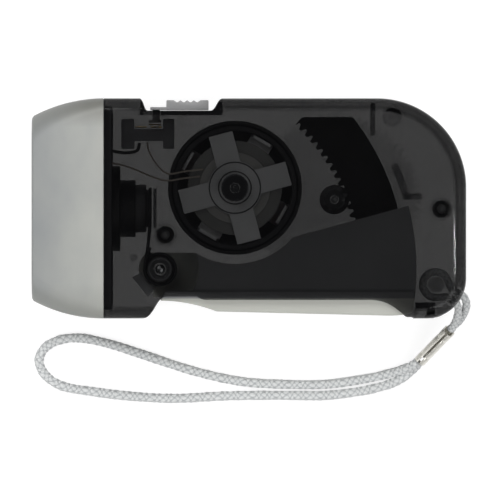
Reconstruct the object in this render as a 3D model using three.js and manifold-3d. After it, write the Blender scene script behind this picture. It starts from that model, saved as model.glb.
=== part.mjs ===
// A squeeze dynamo torch with a smoked clear body, modelled piece by piece in millimetres.
// The torch lies flat on its rear shell: +X runs from the lamp head to the tail, +Y points to the
// side with the switch, +Z points up out of the front shell. The origin is at the middle of the
// rear face. A light grey lever swings out of the lower edge and turns the rotor of a claw pole
// generator through a toothed sector, a pinion, a large wheel and the rotor's own pinion.

import * as THREE from "three";
import { mergeVertices } from "three/addons/utils/BufferGeometryUtils.js";
import Module from "manifold-3d";

const wasm = await Module();
wasm.setup();

// Driving dimensions of the body
const body_length = 105;
const body_height = 53.2;
const body_thickness = 30;
const wall = 1.8;
const edge_radius = 3.2;

// How much smaller or larger the inside is than in a body 105 long, 53.2 high and 30 thick:
// in the body's plane, through its thickness, and in the round parts that the head holds
const length_share = 1 / 105;
const height_share = 1 / 53.2;
const thickness_share = 1 / 30;
const bore_share = 1 / 11;
const head_margin = 4;
const fit = Math.min(body_length * length_share, body_height * height_share);
const deep = body_thickness * thickness_share;
const bore_fit = Math.min(fit, (body_thickness / 2 - head_margin) * bore_share);

// Head and tail
const head_length = 17.5 * fit;
const tail_top_radius = 21.5 * fit;
const tail_bottom_radius = 9.7 * fit;

// Fits shared by all pieces
const seat_gap = 0.3;
const bearing_gap = 0.3;
const cut_overrun = 3;
const facet_length = 1.85;
const merge_distance = 0.0001;

// How finely rounds are cut: the least and most sides, those of small, middling and large rounds
// that aren't worked out from facet_length, and the steps along outlines
const least_sides = 12;
const most_sides = 72;
const small_sides = 16;
const contact_sides = 20;
const cell_sides = 28;
const bore_sides = 32;
const outline_steps = 5;
const rib_steps = 6;
const corner_steps = 4;
const edge_steps = 4;
const hollow_steps = 2;
const head_steps = 7;
const bowl_steps = 5;
const dome_steps = 4;
const flank_steps = 3;
const wheel_flank_steps = 1;
const pinion_flank_steps = 4;
const sector_back_steps = 14;
const leg_steps = 14;
const loop_steps = 62;
const eye_steps = 34;

// Recess for the switch in the top edge of the body
const recess_left = 8.5 * fit;
const recess_width = 20.3 * fit;
const recess_depth = 3 * fit;
const recess_floor_run = 15 * fit;
const recess_left_run = 2.1 * fit;
const recess_wall = 1.1;

// Opening for the lever in the bottom edge of the body
const mouth_left = 9.2 * fit;
const mouth_end_gap = 4 * fit;
const mouth_depth = 4.5 * fit;
const mouth_left_run = 6 * fit;
const mouth_right_run = 9.5 * fit;
const mouth_step = 0.8 * fit;
const mouth_step_run = 7.4 * fit;

// Lever, its hub and its swing
const pivot_from_head = 13.5 * fit;
const pivot_rise = 11.9 * fit;
const pivot_pin_radius = 1.2 * fit;
const lever_end_room = 12 * fit;
const lever_length = fit / length_share - head_length - pivot_from_head - lever_end_room;
const lever_width = 24 * deep;
const lever_wall = 1.6;
const lever_top_gap = 4 * fit;
const lever_start = 1.2 * fit;
const lever_depth = 12 * deep;
const lever_face = 2 * deep;
const lever_rotor_gap = 2.2;
const lever_start_angle = 12.6;
const lever_end_angle = 14.4;
const pivot_boss_wall = 1.26;
const hub_radius = 2.9 * fit;
const hub_disc_radius = 9.4 * fit;
const hub_disc_thickness = 2.4 * deep;
const hub_root_radius = 5.2 * fit;
const heel_thickness = 4 * deep;
const grip_top = 5.2 * fit;
const grip_heel_drop = 7.6 * fit;
const grip_shoulder_run = 12.5 * fit;
const grip_shoulder_drop = 10.2 * fit;
const grip_toe_drop = 11.2 * fit;
const grip_toe_back = 7 * fit;
const grip_bevel = 0.9 * fit;
const grip_floor = 2.2 * fit;
const catch_depth = 2.3 * fit;
const catch_height = 2.1 * fit;
const catch_rise = 8.8 * fit;
const catch_width = 8 * deep;

// Gear train
const sector_module = 0.65 * fit;
const sector_full_teeth = 148;
const pinion_teeth = 8;
const wheel_module = 0.6 * fit;
const wheel_teeth = 68;
const rotor_pinion_teeth = 13;
const gear_axle_angle = 21.8;
const rotor_angle = 173.4;
const pressure_angle = 20;
const tooth_slack = 0.05;
const sector_tip_share = 0.45;
const sector_root_share = 1.25;
const pinion_tip_share = 1;
const pinion_root_share = 0.72;
const wheel_tip_share = 0.8;
const wheel_root_share = 1.3;
const sector_back_radius = 59.5 * fit;
const sector_first_angle = 12.2;
const sector_last_angle = 47.4;
const sector_foot_angle = 4.6;
const sector_foot_inner = 50.6 * fit;
const sector_top_gap = 2.6 * fit;
const sector_thickness = 2.8 * deep;
const gear_pin_radius = 0.8 * fit;
const axle_boss_radius = 2.65 * fit;
const rear_boss_height = 3.5 * deep;
const wheel_drop = 1 * deep;
const wheel_thickness = 2 * deep;
const wheel_web = 1 * deep;
const wheel_rim = 2.6 * fit;
const wheel_hub_radius = 3.8 * fit;
const hub_rise = 0.8 * deep;
const pinion_flange = 0.9 * deep;
const pinion_flange_radius = 3.6 * fit;
const pinion_rise = 0.5 * deep;
const sector_screw_radius = 0.7 * fit;
const sector_screw_head_radius = 1.8 * fit;
const sector_screw_head = 0.8 * deep;
const sector_screw_length = 7.5 * deep;
const sector_screw_inset = 4.6 * fit;

// Generator
const rotor_radius = 16.2 * fit;
const rotor_wall = 0.9 * fit;
const rotor_rise = 4.6 * deep;
const rotor_plate = 1.2 * deep;
const rotor_height = 10.2 * deep;
const rotor_hub_radius = 3 * fit;
const rotor_axle_radius = 1 * fit;
const magnet_thickness = 1.2 * fit;
const claw_gap = 0.3;
const claw_plate = 0.8 * deep;
const claw_count = 4;
const claw_width = 5.9 * fit;
const claw_tip_width = 4.8 * fit;
const claw_hub_radius = 6.5 * fit;
const claw_turn_angle = 15;
const claw_short = 1.4 * deep;
const stator_rise = 0.8 * deep;
const bobbin_length = 6.4 * deep;
const bobbin_flange = 0.7 * deep;
const bobbin_radius = 11.4 * fit;
const bobbin_tube_radius = 4.1 * fit;
const winding_radius = 10.7 * fit;
const winding_crown = 0.5 * fit;
const shoulder_radius = 4 * fit;

// Return spring on the lever's hub
const spring_wire = 0.8;
const spring_inner_radius = 3.3 * fit;
const spring_turns = 4;
const spring_pitch = 1.35 * deep;
const spring_leg_height = 19.7 * fit;
const spring_leg_left = 2.4 * fit;
const spring_tail = 6.5 * fit;
const spring_sides = 5;
const spring_steps = 8;

// Lamp head
const head_front_radius = 36.9;
const head_side_share = 0.4;
const head_front_corner = 7;
const head_wall = 1.7;
const head_rim_round = 0.7;
const head_ring_length = 1.9;
const spigot_length = 1.9;
const spigot_wall = 1.4;
const lens_thickness = 1.5;
const lens_inset = 0.4;
const lens_seat = 0.9;
const reflector_wall = 0.8;
const bowl_front_radius = 11 * bore_fit;
const bowl_back_radius = 8.2 * bore_fit;
const bowl_gap = 0.65;
const bowl_flange = 1;
const led_radius = 2.5 * bore_fit;
const led_flange_radius = 2.9 * bore_fit;
const led_flange = 1;
const led_length = 8.6;
const led_ring_radius = 4 * bore_fit;
const led_count = 3;
const led_board_radius = 9.5 * bore_fit;
const led_board_thickness = 1.2;

// Lamp carrier and the button cells behind it
const carrier_radius = 10.3 * bore_fit;
const carrier_plate = 1.2;
const carrier_body_end = 3.8 * fit;
const socket_radius = 6.9 * bore_fit;
const socket_end = 7.5 * fit;
const cell_radius = 5.8 * bore_fit;
const cell_cap_radius = 4.6 * bore_fit;
const cell_length = 5.4 * fit;
const cell_cap = 0.6 * fit;
const cell_count = 2;
const contact_radius = 4.8 * bore_fit;
const contact_thickness = 0.4;
const contact_rib = 1.2;
const contact_rib_gap = 0.5;

// Switch
const knob_length = 10.2 * fit;
const knob_height = 2.35 * fit;
const knob_width = 10 * deep;
const knob_left = 15 * fit;
const knob_ridges = 5;
const knob_ridge_pitch = 0.95 * fit;
const knob_ridge_depth = 0.5 * fit;
const knob_ridge_start = 2 * fit;
const knob_skirt = 0.7 * fit;
const knob_skirt_length = 3.9 * fit;
const knob_skirt_width = 7.2 * deep;
const knob_travel = 2;
const stem_left = 11.6 * fit;
const stem_length = 1.8 * fit;
const stem_width = 3.6 * deep;
const foot_length = 3 * fit;
const foot_height = 0.7 * fit;
const foot_drop = 1 * fit;
const wiper_thickness = 0.3;
const contact_length = 2.7 * fit;
const switch_left = 4.1 * fit;
const switch_length = 12.8 * fit;
const switch_height = 7.2 * fit;
const switch_drop = 0.8 * fit;
const switch_block_left = 3.1 * fit;
const switch_block_right = 2.7 * fit;
const switch_bar_height = 2.9 * fit;
const switch_width = 10 * deep;

// Screws and posts of the shells
const screw_radius = 0.95 * fit;
const screw_head_radius = 2.1 * fit;
const screw_head_height = 1.6;
const screw_head_sink = 0.6;
const screw_length = 20 * deep;
const screw_boss_radius = 2.2 * fit;
const screw_collar_radius = 3.1 * fit;
const screw_collar_height = 4.2 * deep;
const front_screw_x = 14.7 * fit;
const front_screw_rise = 8.35 * fit;
const tail_screw_x = 5.8;
const tail_screw_y = 0.1;
const peg_radius = 1.1;
const peg_x = 17.65;
const peg_y = 4.4;
const strap_post_radius = 1.9 * fit;
const strap_post_reach = 2.9 * fit;
const stop_peg_radius = 0.9 * fit;
const stop_peg_x = 6.5 * fit;
const stop_peg_y = 2.9 * fit;
const guide_rib = 1.4 * fit;
const guide_top_angle = 24.2;
const guide_bottom_angle = 16;
const guide_foot = 4.3 * fit;
const guide_gap = 0.4;
const far_rib_x = 23;
const far_rib_height = 6 * deep;
const far_rib_depth = 7;
const far_rib_width = 1.2;

// Lever lock in the tail lobe of the bottom edge
const lock_button_length = 5 * fit;
const lock_button_width = 8 * deep;
const lock_button_height = 0.7 * fit;
const lock_recess_depth = 1 * fit;
const lock_stem_length = 2.4 * fit;
const lock_stem_width = 5 * deep;
const lock_nose_length = 3.9 * fit;
const lock_nose_height = 1.5 * fit;
const lock_travel = 1.9;
const lock_ridges = 3;

// Cord slot in the tail corner and the wrist strap
const strap_slot_angle = -32;
const strap_slot_width = 5.2;
const strap_slot_height = 3.6;
const cord_radius = 1.2;
const eye_radius = 1 * fit;
const eye_ring_radius = 3.1 * fit;
const eye_spread = 1.25 * fit;
const cord_sides = 8;
const crimp_wall = 0.4;
const crimp_seam = 0.5;
const crimp_width = 2.9;
const crimp_stack = 2.6;
const crimp_round_steps = 3;
const crimp_gap = 0.7;

// Wires
const wire_radius = 0.45;
const coil_wire_radius = 0.35;
const wire_sides = 6;
const lead_steps = 12;
// How far past the line from the rotor to their start the leads cross its rim, and where they end
const lead_edge_angles = [10.2, 5.2];
const lead_end_angles = [-7.8, -6.8];

// The strap's route, from its upper end in the crimp round to its lower end there. It is laid out
// for a tail corner centred at cord_corner, with the slot's height last, and moves with them.
const cord_corner = [42.8, -16.9, 15];
const strap_route = [
  [41.2, -37.25, 5.62],
  [39.4, -38.35, 4],
  [36.8, -39.35, 2.2],
  [33.5, -40.3, 1.45],
  [29.8, -41.15, 1.3],
  [19.1, -42.72, 1.3],
  [8.5, -42.75, 1.3],
  [-1.5, -42.1, 1.3],
  [-12.8, -39.7, 1.3],
  [-27.1, -35.1, 1.3],
  [-34.1, -32.9, 1.3],
  [-41.1, -31.5, 1.3],
  [-46.2, -32, 1.3],
  [-49.7, -33.9, 1.3],
  [-51.1, -36.8, 1.3],
  [-50, -40, 1.3],
  [-46.2, -42.9, 1.3],
  [-37.7, -44.6, 1.3],
  [-27.1, -45.8, 1.3],
  [-17.9, -46.2, 1.3],
  [-5.8, -45.6, 1.3],
  [4.9, -45.45, 1.3],
  [12.1, -45.5, 1.3],
  [19.1, -45.45, 1.3],
  [29.8, -43.95, 1.3],
  [36.2, -41.9, 1.45],
  [39.6, -39.4, 2],
  [41.5, -37.35, 3.1],
];

// Where the eye leaves the crimp and bends towards the slot: the upper strand, then the lower
const eye_start = [
  [49.2, -29.4, 9.8],
  [50.2, -27.3, 11.9],
  [50.8, -25, 14],
];
const eye_end = [
  [52.7, -22.6, 14.3],
  [52.3, -25.4, 11.7],
  [50.5, -27.9, 8.9],
  [48.9, -29.3, 7.3],
];

// The leads, with X from the joint and Z from the middle. Y is from the underside of the switch's
// bar for the lamp's lead and the switch end, and from the lamp's axis for the carrier end.
const lamp_lead_route = [
  [-1.8, -1.2, 0],
  [1.9, -2.4, 0],
  [5, -2.9, 0],
  [7.9, -2.3, 0],
  [8.5, -0.5, 0],
];
const switch_lead_start = [
  [10.4, -0.5, 3],
  [11, -3, 5.2],
];
const carrier_lead_start = [
  [1.4, 11.1, 2.5],
  [5.4, 10.2, 3.5],
];

// Places that follow from the sizes above
const half_length = body_length / 2;
const half_height = body_height / 2;
const middle = body_thickness / 2;
const joint_x = head_length - half_length;
const front_inner = body_thickness - wall;
const pivot = { x: joint_x + pivot_from_head, y: pivot_rise - half_height };
const sector_radius = (sector_module * sector_full_teeth) / 2;
const pinion_radius = (sector_module * pinion_teeth) / 2;
const wheel_radius = (wheel_module * wheel_teeth) / 2;
const rotor_pinion_radius = (wheel_module * rotor_pinion_teeth) / 2;
const gear = around(pivot, sector_radius - pinion_radius, gear_axle_angle);
const rotor = around(gear, wheel_radius + rotor_pinion_radius, rotor_angle);
const z_hub = wall + rear_boss_height + bearing_gap;
const z_wheel = z_hub + wheel_drop;
const z_wheel_top = z_wheel + wheel_thickness;
const z_pinion = z_wheel_top + hub_rise + seat_gap;
const z_sector = z_pinion + pinion_flange + bearing_gap;
const z_sector_top = z_sector + sector_thickness;
const z_pinion_top = z_sector_top + pinion_rise;
const z_lever = z_sector_top + seat_gap;
const z_lever_top = z_lever + lever_depth;
const z_cup = z_wheel_top + rotor_rise;
const z_cup_top = z_cup + rotor_height;
const z_rear_claw = z_cup + rotor_plate + stator_rise;
const z_bobbin = z_rear_claw + claw_plate + seat_gap;
const z_bobbin_top = z_bobbin + bobbin_length;
const z_front_claw = z_bobbin_top + seat_gap;
const z_shoulder = z_front_claw + claw_plate + seat_gap;
const z_hub_disc_top = z_lever + hub_disc_thickness;
const claw_radius = rotor_radius - rotor_wall - seat_gap - magnet_thickness - claw_gap;
const recess_x = joint_x + recess_left;
const recess_y = half_height - recess_depth;
const grip_y = pivot.y - grip_top;
const front_screw = { x: joint_x + front_screw_x, y: pivot.y + front_screw_rise };
const tail_screw = { x: half_length - tail_screw_x, y: -tail_screw_y };
const peg = { x: half_length - peg_x, y: half_height - peg_y };
const tail_corner = { x: half_length - tail_bottom_radius, y: tail_bottom_radius - half_height };
const strap_post = around(tail_corner, strap_post_reach, strap_slot_angle);

const degrees = Math.PI / 180;

// The point at a distance and an angle in degrees from a centre
function around(centre, distance, angle) {
  return {
    x: centre.x + distance * Math.cos((angle * Math.PI) / 180),
    y: centre.y + distance * Math.sin((angle * Math.PI) / 180),
  };
}

// How many sides a round of this radius gets
function sidesOf(radius) {
  const wanted = Math.ceil((2 * Math.PI * radius) / facet_length / 4) * 4;
  return Math.min(most_sides, Math.max(least_sides, wanted));
}

// A closed geometry as a solid, with shared corners merged and its faces turned outwards
function solid(geometry) {
  const bare = geometry.index ? geometry.toNonIndexed() : geometry.clone();
  bare.deleteAttribute("normal");
  bare.deleteAttribute("uv");
  const merged = mergeVertices(bare, merge_distance);
  const corners = merged.index.array;
  const kept = [];
  for (let i = 0; i < corners.length; i += 3) {
    const [a, b, c] = [corners[i], corners[i + 1], corners[i + 2]];
    if (a !== b && b !== c && c !== a) kept.push(a, b, c);
  }
  const positions = merged.attributes.position.array;
  if (signedVolume(positions, kept) < 0) {
    for (let i = 0; i < kept.length; i += 3) {
      [kept[i + 1], kept[i + 2]] = [kept[i + 2], kept[i + 1]];
    }
  }
  return new wasm.Manifold(
    new wasm.Mesh({ numProp: 3, vertProperties: positions, triVerts: new Uint32Array(kept) }),
  );
}

function signedVolume(positions, corners) {
  const [a, b, c] = [new THREE.Vector3(), new THREE.Vector3(), new THREE.Vector3()];
  let sum = 0;
  for (let i = 0; i < corners.length; i += 3) {
    a.fromArray(positions, 3 * corners[i]);
    b.fromArray(positions, 3 * corners[i + 1]);
    c.fromArray(positions, 3 * corners[i + 2]);
    sum += a.dot(b.cross(c)) / 6;
  }
  return sum;
}

// A solid as a geometry that a mesh can show
function geometryOf(body) {
  const made = body.getMesh();
  const points = new Float32Array(made.numVert * 3);
  for (let i = 0; i < made.numVert; i++) {
    points.set(made.vertProperties.subarray(i * made.numProp, i * made.numProp + 3), i * 3);
  }
  const geometry = new THREE.BufferGeometry();
  geometry.setAttribute("position", new THREE.BufferAttribute(points, 3));
  geometry.setIndex(new THREE.BufferAttribute(new Uint32Array(made.triVerts), 1));
  geometry.computeVertexNormals();
  return geometry;
}

function shapeOf(points) {
  return new THREE.Shape(points.map((p) => new THREE.Vector2(p.x ?? p[0], p.y ?? p[1])));
}

// A flat outline pulled straight up from z0 to z1
function prism(shape, z0, z1, curveSegments = 8) {
  const geometry = new THREE.ExtrudeGeometry(shape, {
    depth: z1 - z0,
    bevelEnabled: false,
    curveSegments,
  });
  geometry.translate(0, 0, z0);
  return solid(geometry);
}

// The same with rounded edges that stay inside the outline
function softPrism(shape, z0, z1, round, steps, curveSegments = 8) {
  const geometry = new THREE.ExtrudeGeometry(shape, {
    depth: z1 - z0 - 2 * round,
    bevelEnabled: true,
    bevelThickness: round,
    bevelSize: round,
    bevelOffset: -round,
    bevelSegments: steps,
    curveSegments,
  });
  geometry.translate(0, 0, z0 + round);
  return solid(geometry);
}

function cylinder(radius, z0, z1, at = { x: 0, y: 0 }, sides = sidesOf(radius)) {
  const geometry = new THREE.CylinderGeometry(radius, radius, z1 - z0, sides);
  geometry.rotateX(Math.PI / 2);
  geometry.translate(at.x, at.y, (z0 + z1) / 2);
  return solid(geometry);
}

function block(x0, x1, y0, y1, z0, z1) {
  const geometry = new THREE.BoxGeometry(x1 - x0, y1 - y0, z1 - z0);
  geometry.translate((x0 + x1) / 2, (y0 + y1) / 2, (z0 + z1) / 2);
  return solid(geometry);
}

// A profile of [radius, height] points turned about the Z axis
function turned(profile, at = { x: 0, y: 0 }, sides = 0) {
  const points = profile.map(([r, z]) => new THREE.Vector2(r, z));
  const widest = Math.max(...profile.map(([r]) => r));
  const geometry = new THREE.LatheGeometry(points, sides || sidesOf(widest));
  geometry.rotateX(Math.PI / 2);
  geometry.translate(at.x, at.y, 0);
  return solid(geometry);
}

// A profile of [radius, x] points turned about a line along X through the lamp's axis
function turnedAlongX(profile, sides = 0, y = 0, z = middle) {
  const points = profile.map(([r, x]) => new THREE.Vector2(r, x));
  const widest = Math.max(...profile.map(([r]) => r));
  const geometry = new THREE.LatheGeometry(points, sides || sidesOf(widest));
  geometry.rotateZ(-Math.PI / 2);
  geometry.translate(0, y, z);
  return solid(geometry);
}

// A round tube along a smooth curve through points
function tube(points, radius, sides, steps) {
  const curve = new THREE.CatmullRomCurve3(
    points.map(([x, y, z]) => new THREE.Vector3(x, y, z)),
    false,
    "centripetal",
  );
  const section = [];
  for (let i = 0; i < sides; i++) {
    const angle = (2 * Math.PI * i) / sides;
    section.push([radius * Math.cos(angle), radius * Math.sin(angle)]);
  }
  const geometry = new THREE.ExtrudeGeometry(shapeOf(section), {
    steps,
    extrudePath: curve,
    bevelEnabled: false,
  });
  return solid(geometry);
}

function join(first, ...rest) {
  return rest.reduce((sum, body) => sum.add(body), first);
}

function cut(body, ...tools) {
  return tools.reduce((left, tool) => left.subtract(tool), body);
}

const torch = new THREE.Group();

function addPiece(group, name, body, { color, roughness, metalness = 0, opacity = 1 }) {
  const material = new THREE.MeshStandardMaterial({ color, roughness, metalness });
  material.opacity = opacity;
  material.transparent = opacity < 1;
  const mesh = new THREE.Mesh(geometryOf(body), material);
  mesh.name = name;
  group.add(mesh);
  return mesh;
}

const smoked_clear = { color: 0x2b2c2e, roughness: 0.08, opacity: 0.55 };
const frosted_silver = { color: 0xb4b6b5, roughness: 0.4 };
const water_clear = { color: 0xe8eef0, roughness: 0.04, opacity: 0.3 };
const mirror_coat = { color: 0xd8dadb, roughness: 0.12, metalness: 1 };
const black_plastic = { color: 0x161617, roughness: 0.45 };
const light_grey_plastic = { color: 0xc3c5c4, roughness: 0.38 };
const steel = { color: 0xb9bbbd, roughness: 0.28, metalness: 1 };
const brass = { color: 0xc2a35a, roughness: 0.3, metalness: 1 };
const magnet_black = { color: 0x2a2a2c, roughness: 0.6 };
const natural_nylon = { color: 0xc9c8c2, roughness: 0.45 };
const copper = { color: 0xa9572c, roughness: 0.35, metalness: 1 };
const board_green = { color: 0x2c5a3c, roughness: 0.5 };
const led_clear = { color: 0xdfe6ea, roughness: 0.06, opacity: 0.4 };
const cord_grey = { color: 0xd6d7d3, roughness: 0.85 };

// The body's outline seen from the front, drawn in by an inset
function bodyOutline(inset) {
  const left = joint_x - edge_radius - cut_overrun;
  const right = half_length - inset;
  const top = half_height - inset;
  const high = tail_top_radius - inset;
  const low = tail_bottom_radius - inset;
  const outline = new THREE.Shape();
  outline.moveTo(left, -top);
  outline.lineTo(right - low, -top);
  outline.absarc(right - low, low - top, low, -Math.PI / 2, 0, false);
  outline.lineTo(right, top - high);
  outline.absarc(right - high, top - high, high, 0, Math.PI / 2, false);
  outline.lineTo(left, top);
  outline.closePath();
  return outline;
}

// The switch recess, a shallow dish with a flat floor
function recessOutline() {
  const right = recess_x + recess_width;
  const floor_start = recess_x + recess_left_run;
  const floor_end = floor_start + recess_floor_run;
  const outline = new THREE.Shape();
  outline.moveTo(recess_x, half_height + cut_overrun);
  outline.lineTo(recess_x, half_height);
  outline.bezierCurveTo(
    recess_x + recess_left_run / 2,
    half_height,
    recess_x + recess_left_run / 2,
    recess_y,
    floor_start,
    recess_y,
  );
  outline.lineTo(floor_end, recess_y);
  outline.bezierCurveTo(
    (floor_end + right) / 2,
    recess_y,
    (floor_end + right) / 2,
    half_height,
    right,
    half_height,
  );
  outline.lineTo(right, half_height + cut_overrun);
  outline.closePath();
  return outline;
}

// What the side faces leave open along the bottom edge for the lever
function mouthOutline() {
  const left = joint_x + mouth_left;
  const right = lock_x - mouth_end_gap;
  const bottom = -half_height;
  const edge = bottom + mouth_depth;
  const bump = left + mouth_left_run;
  const bump_end = bump + mouth_step_run;
  const outline = new THREE.Shape();
  outline.moveTo(left, bottom - cut_overrun);
  outline.lineTo(left, bottom);
  outline.bezierCurveTo(
    left + mouth_left_run / 2,
    bottom,
    left + mouth_left_run / 2,
    edge + mouth_step,
    bump,
    edge + mouth_step,
  );
  outline.lineTo(bump_end, edge + mouth_step);
  outline.quadraticCurveTo(bump_end + mouth_step, edge, bump_end + 3 * mouth_step, edge);
  outline.lineTo(right - mouth_right_run, edge);
  outline.bezierCurveTo(
    right - mouth_right_run / 2,
    edge,
    right - mouth_right_run / 3,
    bottom + mouth_depth / 2,
    right,
    bottom,
  );
  outline.lineTo(right, bottom - cut_overrun);
  outline.closePath();
  return outline;
}

// The hollow between the side faces from which the lever swings out
function leverSpace() {
  const left = joint_x + mouth_left + mouth_left_run / 2;
  const open = block(
    left,
    pivot.x + lever_length + cut_overrun,
    -half_height - cut_overrun,
    grip_y,
    wall,
    front_inner,
  );
  return open.intersect(
    cylinder(lever_length + seat_gap, 0, body_thickness, pivot, sidesOf(lever_length)),
  );
}

// The outer body with its hollow, the recess and the mouth, before it is split in two
function housing() {
  const outside = softPrism(bodyOutline(0), 0, body_thickness, edge_radius, edge_steps);
  const inner_edge = edge_radius - wall;
  const hollow = softPrism(bodyOutline(wall), wall, front_inner, inner_edge, hollow_steps);
  const recess_block = block(
    recess_x,
    recess_x + recess_width,
    recess_y - recess_wall,
    half_height + cut_overrun,
    0,
    body_thickness,
  );
  return cut(
    outside,
    hollow.subtract(recess_block),
    leverSpace(),
    prism(recessOutline(), -cut_overrun, body_thickness + cut_overrun, outline_steps),
    prism(mouthOutline(), -cut_overrun, body_thickness + cut_overrun, outline_steps),
    headSpace(),
    skirtGroove(),
    stemSlot(),
    lockSlot(),
    strapSlot(),
  );
}

function headSpace() {
  return block(
    -body_length,
    joint_x,
    -body_height,
    body_height,
    -cut_overrun,
    body_thickness + cut_overrun,
  );
}

// The groove that the knob's flat skirt slides into at the left end of the recess
function skirtGroove() {
  return block(
    recess_x,
    recess_x + recess_left_run + seat_gap,
    recess_y,
    half_height + cut_overrun,
    middle - knob_skirt_width / 2 - seat_gap,
    middle + knob_skirt_width / 2 + seat_gap,
  );
}

// The slot in the recess floor for the switch knob's stem
function stemSlot() {
  const x = joint_x + stem_left;
  return block(
    x - knob_travel - seat_gap,
    x + stem_length + seat_gap,
    recess_y - recess_wall - cut_overrun,
    half_height,
    middle - stem_width / 2 - seat_gap,
    middle + stem_width / 2 + seat_gap,
  );
}

const lock_x = pivot.x + lever_length + seat_gap + wall;

// The lock's button recess and the slot for its stem in the tail lobe
function lockSlot() {
  const dish = block(
    lock_x - lock_travel - seat_gap,
    lock_x + lock_button_length + seat_gap,
    -half_height - cut_overrun,
    lock_recess_depth - half_height,
    middle - lock_button_width / 2 - seat_gap,
    middle + lock_button_width / 2 + seat_gap,
  );
  const slot = block(
    lock_x + seat_gap - lock_travel,
    lock_x + lock_stem_length + 2 * seat_gap,
    -half_height,
    wall + cut_overrun / 2 - half_height,
    middle - lock_stem_width / 2 - seat_gap,
    middle + lock_stem_width / 2 + seat_gap,
  );
  return dish.add(slot);
}

// The slot in the tail corner through which the strap's eye goes
function strapSlot() {
  const shape = new THREE.Shape();
  const half = strap_slot_width / 2;
  shape.moveTo(strap_post_reach + eye_ring_radius, -half);
  shape.lineTo(tail_bottom_radius + cut_overrun, -half);
  shape.lineTo(tail_bottom_radius + cut_overrun, half);
  shape.lineTo(strap_post_reach + eye_ring_radius, half);
  shape.closePath();
  const geometry = new THREE.ExtrudeGeometry(shape, {
    depth: strap_slot_height,
    bevelEnabled: false,
  });
  geometry.rotateZ(strap_slot_angle * degrees);
  geometry.translate(tail_corner.x, tail_corner.y, middle - strap_slot_height / 2);
  return solid(geometry);
}

// A round boss that stands on a shell's inner face, with a blind bore from its free end
function boss(radius, root, end, at, bore, bore_end) {
  const outer = cylinder(radius, Math.min(root, end), Math.max(root, end), at);
  if (!bore) return outer;
  const beyond = end + Math.sign(end - root) * cut_overrun;
  return outer.subtract(cylinder(bore, Math.min(bore_end, beyond), Math.max(bore_end, beyond), at));
}

// The curved rib beside the lever's end, with the foot that the closed lever stops against
function guideRib() {
  const inner = lever_length - guide_rib / 2;
  const outer = lever_length + guide_rib / 2;
  const rib = new THREE.Shape();
  rib.absarc(0, 0, outer, guide_bottom_angle * degrees, guide_top_angle * degrees, false);
  rib.absarc(0, 0, inner, guide_top_angle * degrees, guide_bottom_angle * degrees, true);
  rib.closePath();
  const z0 = z_lever + lever_face;
  const z1 = body_thickness - wall / 2;
  const leg = prism(rib, z0, z1, rib_steps).translate([pivot.x, pivot.y, 0]);
  const corner = around(pivot, lever_length, lever_end_angle);
  const foot = block(
    corner.x - guide_rib,
    corner.x + guide_foot,
    corner.y + guide_gap,
    corner.y + guide_gap + guide_rib,
    z0,
    z1,
  );
  return leg.add(foot);
}

function frontShell(shell) {
  const root = body_thickness - wall / 2;
  const solidShell = join(
    shell.intersect(
      block(-body_length, body_length, -body_height, body_height, middle, body_thickness),
    ),
    boss(shoulder_radius, root, z_shoulder, rotor),
    boss(axle_boss_radius, root, z_rear_claw - seat_gap, rotor),
    boss(axle_boss_radius, root, z_pinion_top + bearing_gap, gear),
    boss(pivot_pin_radius + pivot_boss_wall, root, z_lever_top, pivot),
    boss(screw_boss_radius, root, middle, front_screw),
    boss(screw_boss_radius, root, middle, tail_screw),
    boss(strap_post_radius, root, middle, strap_post),
    boss(peg_radius, root, middle + seat_gap, peg),
    guideRib(),
    contactRib(middle + contact_radius + seat_gap, root),
  );
  const bores = [
    cylinder(rotor_axle_radius + bearing_gap, 0, z_shoulder, rotor),
    cylinder(gear_pin_radius + bearing_gap, 0, z_shoulder, gear),
    cylinder(pivot_pin_radius + bearing_gap, 0, front_inner - seat_gap, pivot),
    cylinder(screw_radius + seat_gap, 0, screw_length + wall, front_screw),
    cylinder(screw_radius + seat_gap, 0, screw_length + wall, tail_screw),
  ];
  return cut(solidShell, ...bores);
}

// The rib that the end contact of the cells and the spring's long leg lean against
function contactRib(z0, z1) {
  const x = contact_x + contact_thickness + contact_rib_gap;
  return block(x, x + contact_rib, -contact_radius, contact_radius, z0, z1);
}

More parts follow.
